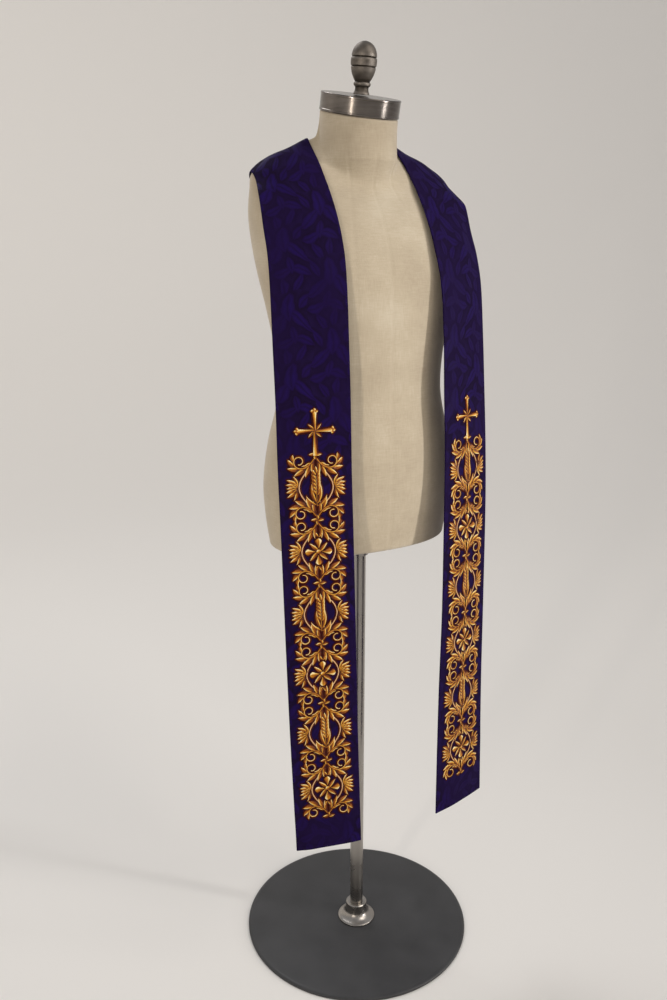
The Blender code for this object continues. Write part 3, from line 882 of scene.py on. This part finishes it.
def palmettes():
    """A fan of seven leaves on the outside of the frame, on each side."""
    right = []
    for heading, length, half, turn_in, turn_out in PALMETTE:
        root = (FRAME_HALF_WIDTH_MM + PALMETTE_GAP_MM, PALMETTE_STEP_MM * heading)
        right.append(stroke(*root, heading, length, turn_in, turn_out, half, "leaf"))
    return moved(right) + moved(right, flip_x=-1)


def quatrefoil():
    """Four round petals and four leaves about a knot, between two pairs of small leaves."""
    strokes = [stroke(0, 0, 45 + 90 * k, 20, 0, 0, 3.0, "leaf") for k in range(4)]
    for k in range(4):
        strokes.append(stroke(*toward(90 * k, 2), 90 * k, 19.5, 0, 0, 6.4, "drop"))
        side, up = (1, 1, -1, -1)[k], (1, -1, 1, -1)[k]
        way = side * up
        strokes.append(stroke(0, 24 * up, 90 * up - 50 * way, 12, 60 * way, 0, 2.2, "leaf"))
    return strokes + [stroke(-3.6, 0, 0, 7.2, 0, 0, 3.6, "knot")]


def wheat_ear():
    """An upright ear with pairs of grains and two pairs of blades."""
    strokes = []
    for side in (1, -1):
        strokes.append(stroke(0, -26, 90 - 34 * side, 33, 50 * side, 30 * side, 2.9, "leaf"))
        strokes.append(stroke(0, -29, 90 - 70 * side, 24, 40 * side, 70 * side, 2.5, "leaf"))
    strokes.append(stroke(0, -30, 90, 48, 0, 0, 0.9, "vine"))
    for k in range(GRAINS):
        for side in (1, -1):
            grain = (0.6 * side, 6 * k - 12, 90 - 36 * side, 13, 20 * side, 20 * side, 3.0)
            strokes.append(stroke(*grain, "leaf"))
    return strokes + [stroke(0, 22, 90, 12, 0, 0, 2.8, "leaf")]


def budded_cross():
    """A long cross whose arms widen and end in three round buds, with a leaf in each corner."""
    strokes = [
        stroke(*toward(turn, 2.1), turn, 12, 0, 0, 2.0, "leaf") for turn in (45, 135, 225, 315)
    ]
    for heading, length in CROSS_ARMS:
        arm = stroke(0, 0, heading, length, 0, 0, 3.7, "bar")
        strokes.append(arm)
        if heading == 270:
            continue
        for side in (-90, 90, 0):
            start = arm[0][-1] + toward(heading + side, 0.2 if side else -0.8)
            strokes.append(stroke(*start, heading + side, 5.2, 0, 0, 2.6, "knot"))
    return strokes


gold_strokes, line_strokes = [], []
for k in range(FRAMES + 1):
    join = k * FRAME_MM
    for flip_y in (1, -1):
        if (k == 0 and flip_y == 1) or (k == FRAMES and flip_y == -1):
            continue
        for flip_x in (1, -1):
            gold_strokes += moved(spray(), join, flip_x, flip_y, SPRAY_SCALE)
    gold_strokes += moved(join_knot((0, 90, 180, 270) if k else (0, 90, 180)), join)
for k in range(FRAMES):
    middle = (k + 0.5) * FRAME_MM
    line_strokes += moved(ogee_frame(), middle)
    gold_strokes += moved(palmettes(), middle)
    gold_strokes += moved(wheat_ear() if k % 2 else quatrefoil(), middle)
gold_strokes += moved(budded_cross(), CROSS_Y_MM)


def on_face(side, points_mm, lift_mm):
    """Points of the flat drawing on a half's face, and the cloth's normals there."""
    grid, normals = make_half_surface(side)[1:]
    station = BAND_LENGTH - FOOT_ABOVE_HEM - points_mm[:, 1] / 1000
    share = 0.5 + points_mm[:, 0] / 1000 / BAND_WIDTH
    i = np.clip(np.searchsorted(stations, station) - 1, 0, len(stations) - 2)
    j = np.clip(np.searchsorted(shares, share) - 1, 0, len(shares) - 2)
    a = ((station - stations[i]) / (stations[i + 1] - stations[i]))[:, None]
    b = ((share - shares[j]) / (shares[j + 1] - shares[j]))[:, None]
    found = []
    for values in (grid, normals):
        first = values[i, j] * (1 - b) + values[i, j + 1] * b
        second = values[i + 1, j] * (1 - b) + values[i + 1, j + 1] * b
        found.append(first * (1 - a) + second * a)
    return found[0] + found[1] * (lift_mm / 1000)[:, None], found[1]


def outlined(strokes):
    """The strokes run on past both their ends and narrow there, for the stitching round them."""
    longer = []
    for points, half, share, hand, shape in strokes:
        runs = np.array((points[0] - points[1], points[-1] - points[-2]))
        ends = points[[0, -1]] + OUTLINE_TIP_MM * runs / np.linalg.norm(runs, axis=1, keepdims=True)
        tip = [OUTLINE_TIP_HALF_MM - OUTLINE_MM]
        longer.append((
            np.concatenate([ends[:1], points, ends[1:]]), np.concatenate([tip, half, tip]),
            np.concatenate([[0], share, [1]]), hand, shape,
        ))
    return longer


def lay_lines(name, runs, normals, kept={}):
    """Runs of points as lines on the cloth, with its normals and the kept values on the points."""
    mesh = bpy.data.meshes.new(name)
    edges, start = [], 0
    for run in runs:
        edges += [(start + k, start + k + 1) for k in range(len(run) - 1)]
        start += len(run)
    mesh.from_pydata([tuple(p) for run in runs for p in run], edges, [])
    for label, values in kept.items():
        held = mesh.attributes.new(label, "FLOAT", "POINT")
        held.data.foreach_set("value", values.astype(np.float32))
    held = mesh.attributes.new("cloth_normal", "FLOAT_VECTOR", "POINT")
    held.data.foreach_set("vector", normals.astype(np.float32).ravel())
    return new_object(name, mesh)


def lay_strokes(name, side, strokes):
    """The strokes as lines on a half, with what the stitching needs kept on their points."""
    points, halves_mm, shares_along, hands, shapes = zip(*strokes)
    counts = [len(run) for run in points]
    lift = np.repeat([LIFT_MM[shape] for shape in shapes], counts)
    places, normals = on_face(side, np.concatenate(points), lift)
    split = [
        shape in ("leaf", "drop") and half.max() > SPLIT_HALF_MM
        for half, shape in zip(halves_mm, shapes)
    ]
    return lay_lines(name, np.split(places, np.cumsum(counts)[:-1]), normals, {
        "half_width": np.concatenate(halves_mm) / 1000,
        "share": np.concatenate(shares_along),
        "hand": np.repeat(hands, counts),
        "split": np.repeat(split, counts),
    })


def new_tree(name, inputs, output):
    """An empty geometry-node tree with its named inputs and output."""
    tree = bpy.data.node_groups.new(name, "GeometryNodeTree")
    for label, kind in inputs.items():
        tree.interface.new_socket(label, in_out="INPUT", socket_type=kind)
    tree.interface.new_socket(output, in_out="OUTPUT", socket_type="NodeSocketGeometry")
    return tree


def kept_value(tree, label, kind="FLOAT"):
    """What is kept on the points under this label."""
    return add_node(tree, "GeometryNodeInputNamedAttribute", {"Name": label}, data_type=kind)


def keep_value(tree, geometry, label, value, kind="FLOAT"):
    """The geometry with a value kept on its points."""
    return add_node(tree, "GeometryNodeStoreNamedAttribute", {
        "Geometry": geometry, "Name": label, "Value": value,
    }, data_type=kind, domain="POINT")


def put_out(tree, mesh, thread):
    """The tree with the mesh, made of this thread, as its output."""
    mesh = add_node(tree, "GeometryNodeRealizeInstances", {"Geometry": mesh})
    mesh = add_node(tree, "GeometryNodeSetMaterial", {"Geometry": mesh, "Material": thread})
    add_node(tree, "NodeGroupOutput", {0: mesh})
    return tree


def satin_tree():
    """Geometry nodes that work each line as a raised, flat-bottomed band of satin stitch."""
    tree = new_tree("satin stitch", {
        "Lines": "NodeSocketGeometry", "Rise": "NodeSocketFloat", "Spread": "NodeSocketFloat",
        "Sides": "NodeSocketInt", "Thread": "NodeSocketMaterial",
    }, "Stitching")
    given = add_node(tree, "NodeGroupInput")
    normal = kept_value(tree, "cloth_normal", "FLOAT_VECTOR")
    half, hand, split = (kept_value(tree, label) for label in ("half_width", "hand", "split"))
    wide = add_math(tree, "ADD", half, given.outputs["Spread"])
    curve = add_node(tree, "GeometryNodeMeshToCurve", {"Mesh": given.outputs["Lines"]})
    curve = add_node(tree, "GeometryNodeSetCurveNormal", {
        "Curve": curve, "Normal": normal,
    }, mode="FREE")
    length = add_node(tree, "GeometryNodeSplineParameter")
    curve = keep_value(tree, curve, "along", length.outputs["Length"])
    ring = add_node(tree, "GeometryNodeCurvePrimitiveCircle", {
        "Resolution": given.outputs["Sides"], "Radius": 1.0,
    })
    place = add_node(tree, "GeometryNodeInputPosition")
    ring = keep_value(tree, ring, "section", place, "FLOAT_VECTOR")
    mesh = add_node(tree, "GeometryNodeCurveToMesh", {
        "Curve": curve, "Profile Curve": ring, "Scale": wide, "Fill Caps": True,
    })
    section = kept_value(tree, "section", "FLOAT_VECTOR")
    parts = add_node(tree, "ShaderNodeSeparateXYZ", {0: section})
    swell = add_range(tree, half, 0.0, FULL_RISE_HALF, LEAST_RISE, 1.0)
    top = add_math(tree, "MAXIMUM", parts, UNDERSIDE)
    side = add_math(tree, "ABSOLUTE", parts.outputs[1])
    sunk = add_range(tree, side, 0.0, MIDRIB_SHARE, MIDRIB_DEPTH, 0.0)
    sunk = add_math(tree, "MULTIPLY", sunk, split)
    sunk = add_math(tree, "SUBTRACT", 1.0, sunk)
    top = add_math(tree, "MULTIPLY", top, sunk)
    rise = add_math(tree, "MULTIPLY", given.outputs["Rise"], swell)
    rise = add_math(tree, "MULTIPLY", rise, top)
    round_rise = add_math(tree, "MULTIPLY", parts, wide)
    change = add_math(tree, "SUBTRACT", rise, round_rise)
    offset = add_node(tree, "ShaderNodeVectorMath", {0: normal, "Scale": change}, operation="SCALE")
    mesh = add_node(tree, "GeometryNodeSetPosition", {"Geometry": mesh, "Offset": offset})
    across = add_math(tree, "MULTIPLY", parts.outputs[1], hand)
    mesh = keep_value(tree, mesh, "across", across)
    mesh = add_node(tree, "GeometryNodeSetShadeSmooth", {"Geometry": mesh})
    return put_out(tree, mesh, given.outputs["Thread"])


def grown(lines, tree, **sizes):
    """The mesh that a geometry-node tree makes from an object, as a new plain object."""
    modifier = lines.modifiers.new(tree.name, "NODES")
    modifier.node_group = tree
    for item in tree.interface.items_tree:
        if item.in_out == "INPUT" and item.name in sizes:
            modifier[item.identifier] = sizes[item.name]
    bpy.context.view_layer.update()
    seen = lines.evaluated_get(bpy.context.evaluated_depsgraph_get())
    mesh = bpy.data.meshes.new_from_object(seen)
    name = lines.name
    bpy.data.objects.remove(lines)
    return new_object(name, mesh)


gold, tree, shader = new_material("gold rayon satin stitch")
# Bright twisted rayon laid in close parallel stitches: it shines along each stitch, and its
# shades run from rust at the root of a leaf through amber to pale gold at one edge and the
# tip. Stitches are 0.4 mm apart; they are drawn 0.8 mm apart, which is as fine as shows.
STITCH = 0.0008
MOTTLE = 0.0024             # size of the lighter and darker patches
along_it, across_it, share_it, split_it = (
    add_node(tree, "ShaderNodeAttribute", attribute_name=label).outputs["Fac"]
    for label in ("along", "across", "share", "split")
)
ridge = add_math(tree, "ABSOLUTE", add_wave(tree, along_it, 2 * STITCH))
mottle = add_noise(tree, MOTTLE)
# The stitch ridge also lightens the colour on each crest and darkens it between stitches: painted
# highlight and painted shade.
shade = 0.04
for part, weight in ((across_it, 0.42), (share_it, 0.55), (mottle, 0.22), (ridge, 0.10)):
    shade = add_math(tree, "MULTIPLY_ADD", part, weight, shade)
# Split leaves are painted darker down their sunken midrib: painted shade in the groove.
side = add_math(tree, "ABSOLUTE", across_it)
rib = add_range(tree, side, 0.0, 0.28, -0.30, 0.0)
shade = add_math(tree, "MULTIPLY_ADD", rib, split_it, shade)
colour = add_ramp(tree, shade, (0.10, "#421404"), (0.33, "#8e4708"), (0.56, "#c28112"),
                  (0.78, "#e1b350"), (0.96, "#f8e5b4"))
bump = add_bump(tree, ridge, 0.5, 0.0003)
set_inputs(tree, shader, {
    "Base Color": colour, "Normal": bump, "Roughness": 0.36, "Specular IOR Level": 0.24,
})

maroon, tree, shader = new_material("maroon outline stitch")
# Flat rayon in dark maroon, half sunk in the damask: soft and nearly black, with a faint real gleam
# and small lighter spots painted as gleam; it covers the ground between the leaves.
PAINTED_GLEAM = 0.0017              # size of its lighter spots, a painted gleam
mottle = add_noise(tree, PAINTED_GLEAM)
colour = add_ramp(tree, mottle, (0.3, "#280807"), (0.7, "#48150f"))
set_inputs(tree, shader, {"Base Color": colour, "Roughness": 0.7, "Specular IOR Level": 0.08})

rose, tree, shader = new_material("rose gold line stitch")
# A narrow satin line in pinkish gold: stitches lie slantwise, so the line looks like a cord, with a
# painted highlight on each stitch's crest and painted shade between.
# Stitches are 0.5 mm apart; they are drawn 2.2 mm apart, which is as fine as shows.
LINE_STITCH = 0.0022
LINE_SLANT = 1.4            # how far each stitch runs on across the line, in radians of a turn
along_it, across_it = (
    add_node(tree, "ShaderNodeAttribute", attribute_name=label).outputs["Fac"]
    for label in ("along", "across")
)
phase = add_math(tree, "MULTIPLY", along_it, 2 * math.pi / LINE_STITCH)
phase = add_math(tree, "MULTIPLY_ADD", across_it, LINE_SLANT, phase)
ridge = add_math(tree, "SINE", phase)
# Painted highlight and shade: the colour is lighter on each stitch's crest and darker between.
colour = add_ramp(tree, ridge, (0.0, "#bf8a58"), (0.8, "#ecc08e"))
bump = add_bump(tree, ridge, 0.5, 0.0003)
set_inputs(tree, shader, {"Base Color": colour, "Normal": bump, "Roughness": 0.42})

outline_strokes = outlined(gold_strokes + line_strokes)
STITCHING = (
    # name             strokes          rise     spread             sides  thread
    ("maroon_outline", outline_strokes, 0.00030, OUTLINE_MM / 1000,  6,    maroon),
    ("gold_satin",     gold_strokes,    0.00105, 0.0,               10,    gold),
    ("rose_lines",     line_strokes,    0.00080, 0.0,                8,    rose),
)
stitching = satin_tree()
worked = {}
for side in ("left", "right"):
    worked[side] = []
    for label, strokes, rise, spread, sides, thread in STITCHING:
        lines = lay_strokes(f"{side}_half_{label}", side, strokes)
        piece = grown(lines, stitching, Rise=rise, Spread=spread, Sides=sides, Thread=thread)
        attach(piece, "root")
        worked[side].append(piece)


# --------------------------------------------------------------------- slip stitches
# Each lining is felled by hand to the turned edges of the face with small slanting stitches of
# violet silk thread, along both long edges and the hem. They show only from behind.
STITCH_SPACING = 0.006
STITCH_LENGTH = 0.0017
STITCH_RADIUS = 0.00022
STITCH_SLANT = 35.0         # degrees to the edge


def stitch_tree():
    """Geometry nodes that set small slanting stitches along each line, evenly spaced."""
    tree = new_tree("felling stitch", {
        "Lines": "NodeSocketGeometry", "Spacing": "NodeSocketFloat", "Length": "NodeSocketFloat",
        "Radius": "NodeSocketFloat", "Slant": "NodeSocketFloat", "Thread": "NodeSocketMaterial",
    }, "Stitches")
    given = add_node(tree, "NodeGroupInput")
    normal = kept_value(tree, "cloth_normal", "FLOAT_VECTOR")
    curve = add_node(tree, "GeometryNodeMeshToCurve", {"Mesh": given.outputs["Lines"]})
    curve = add_node(tree, "GeometryNodeResampleCurve", {
        "Curve": curve, "Length": given.outputs["Spacing"],
    }, mode="LENGTH")
    tangent = add_node(tree, "GeometryNodeInputTangent")
    way = add_node(tree, "ShaderNodeVectorRotate", {
        "Vector": tangent, "Axis": normal, "Angle": given.outputs["Slant"],
    }, rotation_type="AXIS_ANGLE")
    lie = add_node(tree, "FunctionNodeAxesToRotation", {
        "Primary Axis": normal, "Secondary Axis": way,
    }, primary_axis="Z", secondary_axis="X")
    half = add_math(tree, "MULTIPLY", given.outputs["Length"], 0.5)
    size = add_node(tree, "ShaderNodeCombineXYZ", {
        0: half, 1: given.outputs["Radius"], 2: given.outputs["Radius"],
    })
    stitch = add_node(tree, "GeometryNodeMeshUVSphere", {"Segments": 8, "Rings": 6, "Radius": 1.0})
    turn = add_node(tree, "GeometryNodeTransform", {
        "Geometry": stitch, "Rotation": (0, math.pi / 2, 0),
    })
    stitch = add_node(tree, "GeometryNodeTransform", {"Geometry": turn, "Scale": size})
    stitch = add_node(tree, "GeometryNodeSetShadeSmooth", {"Geometry": stitch})
    mesh = add_node(tree, "GeometryNodeInstanceOnPoints", {
        "Points": curve, "Instance": stitch, "Rotation": lie,
    })
    return put_out(tree, mesh, given.outputs["Thread"])


silk, tree, shader = new_material("violet silk sewing thread")
# Fine two-ply silk, a shade lighter than the lining, with a soft lustre along its twist.
TWIST = 0.00038
twist = add_noise(tree, TWIST)
colour = add_ramp(tree, twist, (0.3, "#35205c"), (0.7, "#54378a"))
set_inputs(tree, shader, {"Base Color": colour, "Roughness": 0.45})

felling = stitch_tree()
hem_row = len(stations) - len(HEM_ROWS)
FELL_INSET = HEM_ROWS[0]    # of the stitches from the cloth's edge
FELL_RISE = 0.00012         # above the turned face
inner, outer = FELL_INSET / BAND_WIDTH, 1 - FELL_INSET / BAND_WIDTH
between = (shares > inner) & (shares < outer)
for side in ("left", "right"):
    back, _, normals = make_half_surface(side)
    runs, ups = [], []
    for share in (inner, outer):
        j = int(np.searchsorted(shares, share)) - 1
        b = (share - shares[j]) / (shares[j + 1] - shares[j])
        runs.append(back[:hem_row, j] * (1 - b) + back[:hem_row, j + 1] * b)
        ups.append(normals[:hem_row, j])
    runs.append(back[hem_row, between])
    ups.append(normals[hem_row, between])
    runs = [run - up * FELL_RISE for run, up in zip(runs, ups)]
    lines = lay_lines(f"{side}_half_slip_stitches", runs, -np.concatenate(ups))
    stitches = grown(
        lines, felling, Spacing=STITCH_SPACING, Length=STITCH_LENGTH, Radius=STITCH_RADIUS,
        Slant=math.radians(STITCH_SLANT), Thread=silk,
    )
    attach(stitches, "root")


# -------------------------------------------------------------------------- neck cap
# A spun cap of brushed stainless steel that closes the top of the neck: a shallow drum with
# a rolled rim above and below, brushed round and round on the lathe. It is tilted forward.
CAP_RADIUS = 0.0645
CAP_HEIGHT = 0.0275
CAP_ROLL = 0.0014           # of its edges
CAP_RIM = 0.0032            # height of each rim; the drum between them is CAP_STEP smaller
CAP_STEP = 0.0004
CAP_DISH = 0.0002           # of its top, inside CAP_DISH_INSET from the side
CAP_DISH_INSET = 0.010
FIT_GAP = 0.0003            # between two pieces of the form and its stand

brushed_steel, tree, shader = new_material("brushed stainless steel")
# Brushed along the turning: each light draws out into an upright streak across the grooves,
# with fine lighter and darker rings between. Its colour is kept far darker than bare steel, a
# painted dark reflection, with light smudges from handling on it.
GROOVE = 0.00024
GROOVE_LENGTH = 0.333
SMUDGE = 0.0294
tilt = math.radians(CAP_TILT)
grooves = add_noise(tree, (GROOVE_LENGTH, GROOVE_LENGTH, GROOVE), turn=-tilt)
smudge = add_noise(tree, SMUDGE, 3.0)
tone = add_math(tree, "MULTIPLY", grooves, 0.6)
tone = add_math(tree, "MULTIPLY_ADD", smudge, 0.4, tone)
# Painted dark reflection: the ramp keeps the steel's colour dark all over.
colour = add_ramp(tree, tone, (0.35, "#544f4b"), (0.65, "#857e78"))
bump = add_bump(tree, grooves, 0.6, 0.00005)
set_inputs(tree, shader, {"Base Color": colour, "Normal": bump, "Metallic": 1.0, "Roughness": 0.20})


def turned(name, profile, around, material, tilt=0.0, foot=(0.0, 0.0, 0.0), sharp=35):
    """A closed turned piece from heights and radii, top to bottom, tilted forward on its foot."""
    lean = math.radians(tilt)
    points = [
        (x + foot[0], y * math.cos(lean) - z * math.sin(lean) + foot[1],
         y * math.sin(lean) + z * math.cos(lean) + foot[2])
        for x, y, z in ring_points(profile, around)
    ]
    piece = add_piece(name, points, ring_faces(len(profile), around, flip=True), [material])
    piece.data.set_sharp_from_angle(angle=math.radians(sharp))
    return piece


def rolled_edge(height, radius, roll, upper=True, first=90):
    """Profile points round the rolled edge of a rim at this height, from top to bottom."""
    faced = np.linspace(first, 0, 6) if upper else np.linspace(0, -90, 6)
    middle = height - roll if upper else height + roll
    return [(middle + roll * math.sin(a), radius - roll + roll * math.cos(a))
            for a in np.radians(faced)]


cap_axis = Vector((0, -math.sin(tilt), math.cos(tilt)))
cap_foot = Vector((0, neck_at(NECK_TOP_Z)[0], NECK_TOP_Z)) + cap_axis * FIT_GAP
profile = [
    (CAP_HEIGHT - CAP_DISH, CAP_RADIUS - CAP_DISH_INSET),
    *rolled_edge(CAP_HEIGHT, CAP_RADIUS, CAP_ROLL),
    (CAP_HEIGHT - CAP_RIM, CAP_RADIUS),
    (CAP_HEIGHT - CAP_RIM - CAP_STEP, CAP_RADIUS - CAP_STEP),
    (CAP_RIM + CAP_STEP, CAP_RADIUS - CAP_STEP),
    (CAP_RIM, CAP_RADIUS),
    *rolled_edge(0, CAP_RADIUS, CAP_ROLL, upper=False),
]
cap = turned("neck_cap_steel", profile, 128, brushed_steel, CAP_TILT, cap_foot, 30)
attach(cap, "root")
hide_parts("neck_cap")


# ---------------------------------------------------------------------------- finial
# A turned knob screwed into the middle of the cap, cast in pewter: an acorn-like body with two
# scored rings round its widest part, over a short neck with a bead.
FINIAL_TILT = 9.0
FINIAL_PROFILE = (
    # height  radius
    (0.0000,  0.0130), (0.0015, 0.0128), (0.0030, 0.0122), (0.0043, 0.0115), (0.0055, 0.0110),
    (0.0080,  0.0107), (0.0105, 0.0108), (0.0113, 0.0112), (0.0117, 0.0121), (0.0125, 0.0129),
    (0.0137,  0.0135), (0.0150, 0.0137), (0.0163, 0.0135), (0.0173, 0.0129), (0.0179, 0.0121),
    (0.0185,  0.0119), (0.0205, 0.0130), (0.0230, 0.0146), (0.0270, 0.0166), (0.0310, 0.0181),
    (0.0350,  0.0191), (0.0386, 0.0198), (0.0392, 0.0192), (0.0400, 0.0189), (0.0408, 0.0192),
    (0.0414,  0.0202), (0.0440, 0.0206), (0.0475, 0.0207), (0.0500, 0.0206), (0.0522, 0.0203),
    (0.0528,  0.0194), (0.0536, 0.0190), (0.0544, 0.0193), (0.0550, 0.0200), (0.0575, 0.0198),
    (0.0600,  0.0193), (0.0630, 0.0184), (0.0660, 0.0171), (0.0688, 0.0153), (0.0712, 0.0132),
    (0.0732,  0.0107), (0.0749, 0.0077), (0.0761, 0.0044), (0.0767, 0.0010),
)

pewter, tree, shader = new_material("cast pewter")
# Dull grey pewter with a brown tinge that has darkened in the grooves and low on the knob.
PATINA = 0.0111             # size of the tarnished patches
patina = add_noise(tree, PATINA, 5.0)
hollow = add_node(tree, "ShaderNodeNewGeometry")
hollow = add_range(tree, hollow.outputs["Pointiness"], 0.46, 0.53)
tone = add_math(tree, "MULTIPLY", patina, 0.45)
tone = add_math(tree, "MULTIPLY_ADD", hollow, 0.55, tone)
colour = add_ramp(tree, tone, (0.20, "#241f1b"), (0.50, "#58514a"), (0.80, "#7b746d"))
worn = add_range(tree, patina, 0.3, 0.7, 0.44, 0.64)
set_inputs(tree, shader, {"Base Color": colour, "Roughness": worn, "Metallic": 1.0})

foot_rise = FINIAL_PROFILE[0][1] * math.sin(math.radians(CAP_TILT - FINIAL_TILT)) + FIT_GAP
finial_foot = cap_foot + cap_axis * CAP_HEIGHT + Vector((0, 0, foot_rise))
finial = turned("finial_pewter", FINIAL_PROFILE[::-1], 72, pewter, FINIAL_TILT, finial_foot, 50)
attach(finial, "root")
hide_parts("finial")


# ------------------------------------------------------------------- post, hub, flange
# A round post of drawn steel tube. At its top a turned flange and sleeve carry the torso, and
# at its foot a turned hub holds it on the base plate. All are nickel-plated to a satin finish.
BASE_HEIGHT = 0.007
HUB_RADIUS = 0.036
HUB_HEIGHT = 0.034
POST_RADIUS = 0.0125
FLANGE_RADIUS = 0.040
FLANGE_HEIGHT = 0.006
FLANGE_FALL = 0.0033        # of its underside, from the edge to the fillet round the sleeve
FLANGE_FILLET = 0.003
FLANGE_TOP_INSET = 0.004
FLANGE_SLEEVE = 0.026
SLEEVE_WALL = 0.0045
EDGE_ROLL = 0.001           # of the turned edges of the flange and the hub
CHAMFER = 0.0004            # of the post's ends and the hub's foot

satin_steel, tree, shader = new_material("satin nickel-plated steel")
# Satin plating over fine turning marks, a shade warmer than bare steel, lightly smudged.
TURNING_MARK = 0.00042
TURNING_MARK_LENGTH = 0.333
HANDLED_PATCH = 0.0455
rings = add_noise(tree, (TURNING_MARK_LENGTH, TURNING_MARK_LENGTH, TURNING_MARK))
smudge = add_noise(tree, HANDLED_PATCH, 4.0)
tone = add_math(tree, "ADD", rings, smudge)
colour = add_ramp(tree, tone, (0.6, "#8c8782"), (1.0, "#aaa59f"))
bump = add_bump(tree, rings, 0.3, 0.00004)
worn = add_range(tree, smudge, 0.3, 0.7, 0.22, 0.36)
set_inputs(tree, shader, {"Base Color": colour, "Normal": bump, "Roughness": worn, "Metallic": 1.0})

top = TORSO_BOTTOM - FIT_GAP
low = top - FLANGE_HEIGHT
sleeve = POST_RADIUS + SLEEVE_WALL
sleeve_foot = low - FLANGE_SLEEVE
fillet = [
    (low - FLANGE_FALL - FLANGE_FILLET * (1 - math.cos(a)),
     sleeve + FLANGE_FILLET * (1 - math.sin(a)))
    for a in np.radians(range(0, 91, 15))
]
profile = [
    (top, FLANGE_RADIUS - FLANGE_TOP_INSET),
    *rolled_edge(top, FLANGE_RADIUS, EDGE_ROLL),
    *rolled_edge(low, FLANGE_RADIUS, EDGE_ROLL, upper=False),
    *fillet,
    *rolled_edge(sleeve_foot, sleeve, EDGE_ROLL, upper=False),
]
flange = turned("flange_steel", profile, 72, satin_steel)
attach(flange, "root")
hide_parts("flange")

post_top = sleeve_foot - FIT_GAP
post_foot = BASE_HEIGHT + HUB_HEIGHT + 2 * FIT_GAP
profile = [
    (post_top, POST_RADIUS - CHAMFER), (post_top - CHAMFER, POST_RADIUS),
    (post_foot + CHAMFER, POST_RADIUS), (post_foot, POST_RADIUS - CHAMFER),
]
post = turned("post_steel", profile, 64, satin_steel)
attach(post, "root")
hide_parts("post")

HUB_LIP = 0.0018            # height of the foot's upright edge
HUB_PROFILE = (
    # below the top, radius
    (0.0000, 0.0185), (0.0015, 0.0200), (0.0040, 0.0203), (0.0100, 0.0203), (0.0160, 0.0205),
    (0.0190, 0.0211), (0.0215, 0.0221), (0.0240, 0.0240), (0.0262, 0.0264), (0.0280, 0.0290),
    (0.0295, 0.0322), (0.0305, 0.0345),
)
hub_foot = BASE_HEIGHT + FIT_GAP
profile = [
    *((hub_foot + HUB_HEIGHT - below, radius) for below, radius in HUB_PROFILE),
    *rolled_edge(hub_foot + HUB_LIP + EDGE_ROLL, HUB_RADIUS, EDGE_ROLL, first=60),
    (hub_foot, HUB_RADIUS - CHAMFER),
]
hub = turned("hub_steel", profile, 96, satin_steel)
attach(hub, "root")
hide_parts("hub")


# ------------------------------------------------------------------------ base plate
# A round plate cut from 7 mm steel, its upper edge rounded over and its surface powder-coated.
# It is heavy enough to keep the dressed form upright.
BASE_RADIUS = 0.215
BASE_MIDDLE = 0.040         # radius of the flat disc in the middle of each side
BASE_EDGE = (
    # below the top, in from the edge
    (0.0000, 0.0068), (0.0003, 0.0050), (0.0012, 0.0022), (0.0022, 0.0006), (0.0032, 0.0000),
    (0.0060, 0.0000), (0.0067, 0.0004), (0.0070, 0.0010),
)

enamel, tree, shader = new_material("grey powder coat")
# Baked polyester powder, dark grey: an even pebbled skin, half matt, with a little dust on it.
PEBBLE = 0.00105
DUST_PATCH = 0.0714
pebble = add_noise(tree, PEBBLE, 1.0)
dust = add_noise(tree, DUST_PATCH, 6.0)
colour = add_ramp(tree, dust, (0.35, "#2e2e30"), (0.75, "#3d3d3f"))
bump = add_bump(tree, pebble, 0.4, 0.00012)
worn = add_range(tree, dust, 0.3, 0.7, 0.42, 0.56)
set_inputs(tree, shader, {"Base Color": colour, "Normal": bump, "Roughness": worn})

profile = [
    (BASE_HEIGHT, BASE_MIDDLE),
    *((BASE_HEIGHT - below, BASE_RADIUS - inset) for below, inset in BASE_EDGE),
    (0.0, BASE_MIDDLE),
]
plate = turned("base_plate_steel", profile, 192, enamel, sharp=60)
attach(plate, "root")
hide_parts("base_plate")
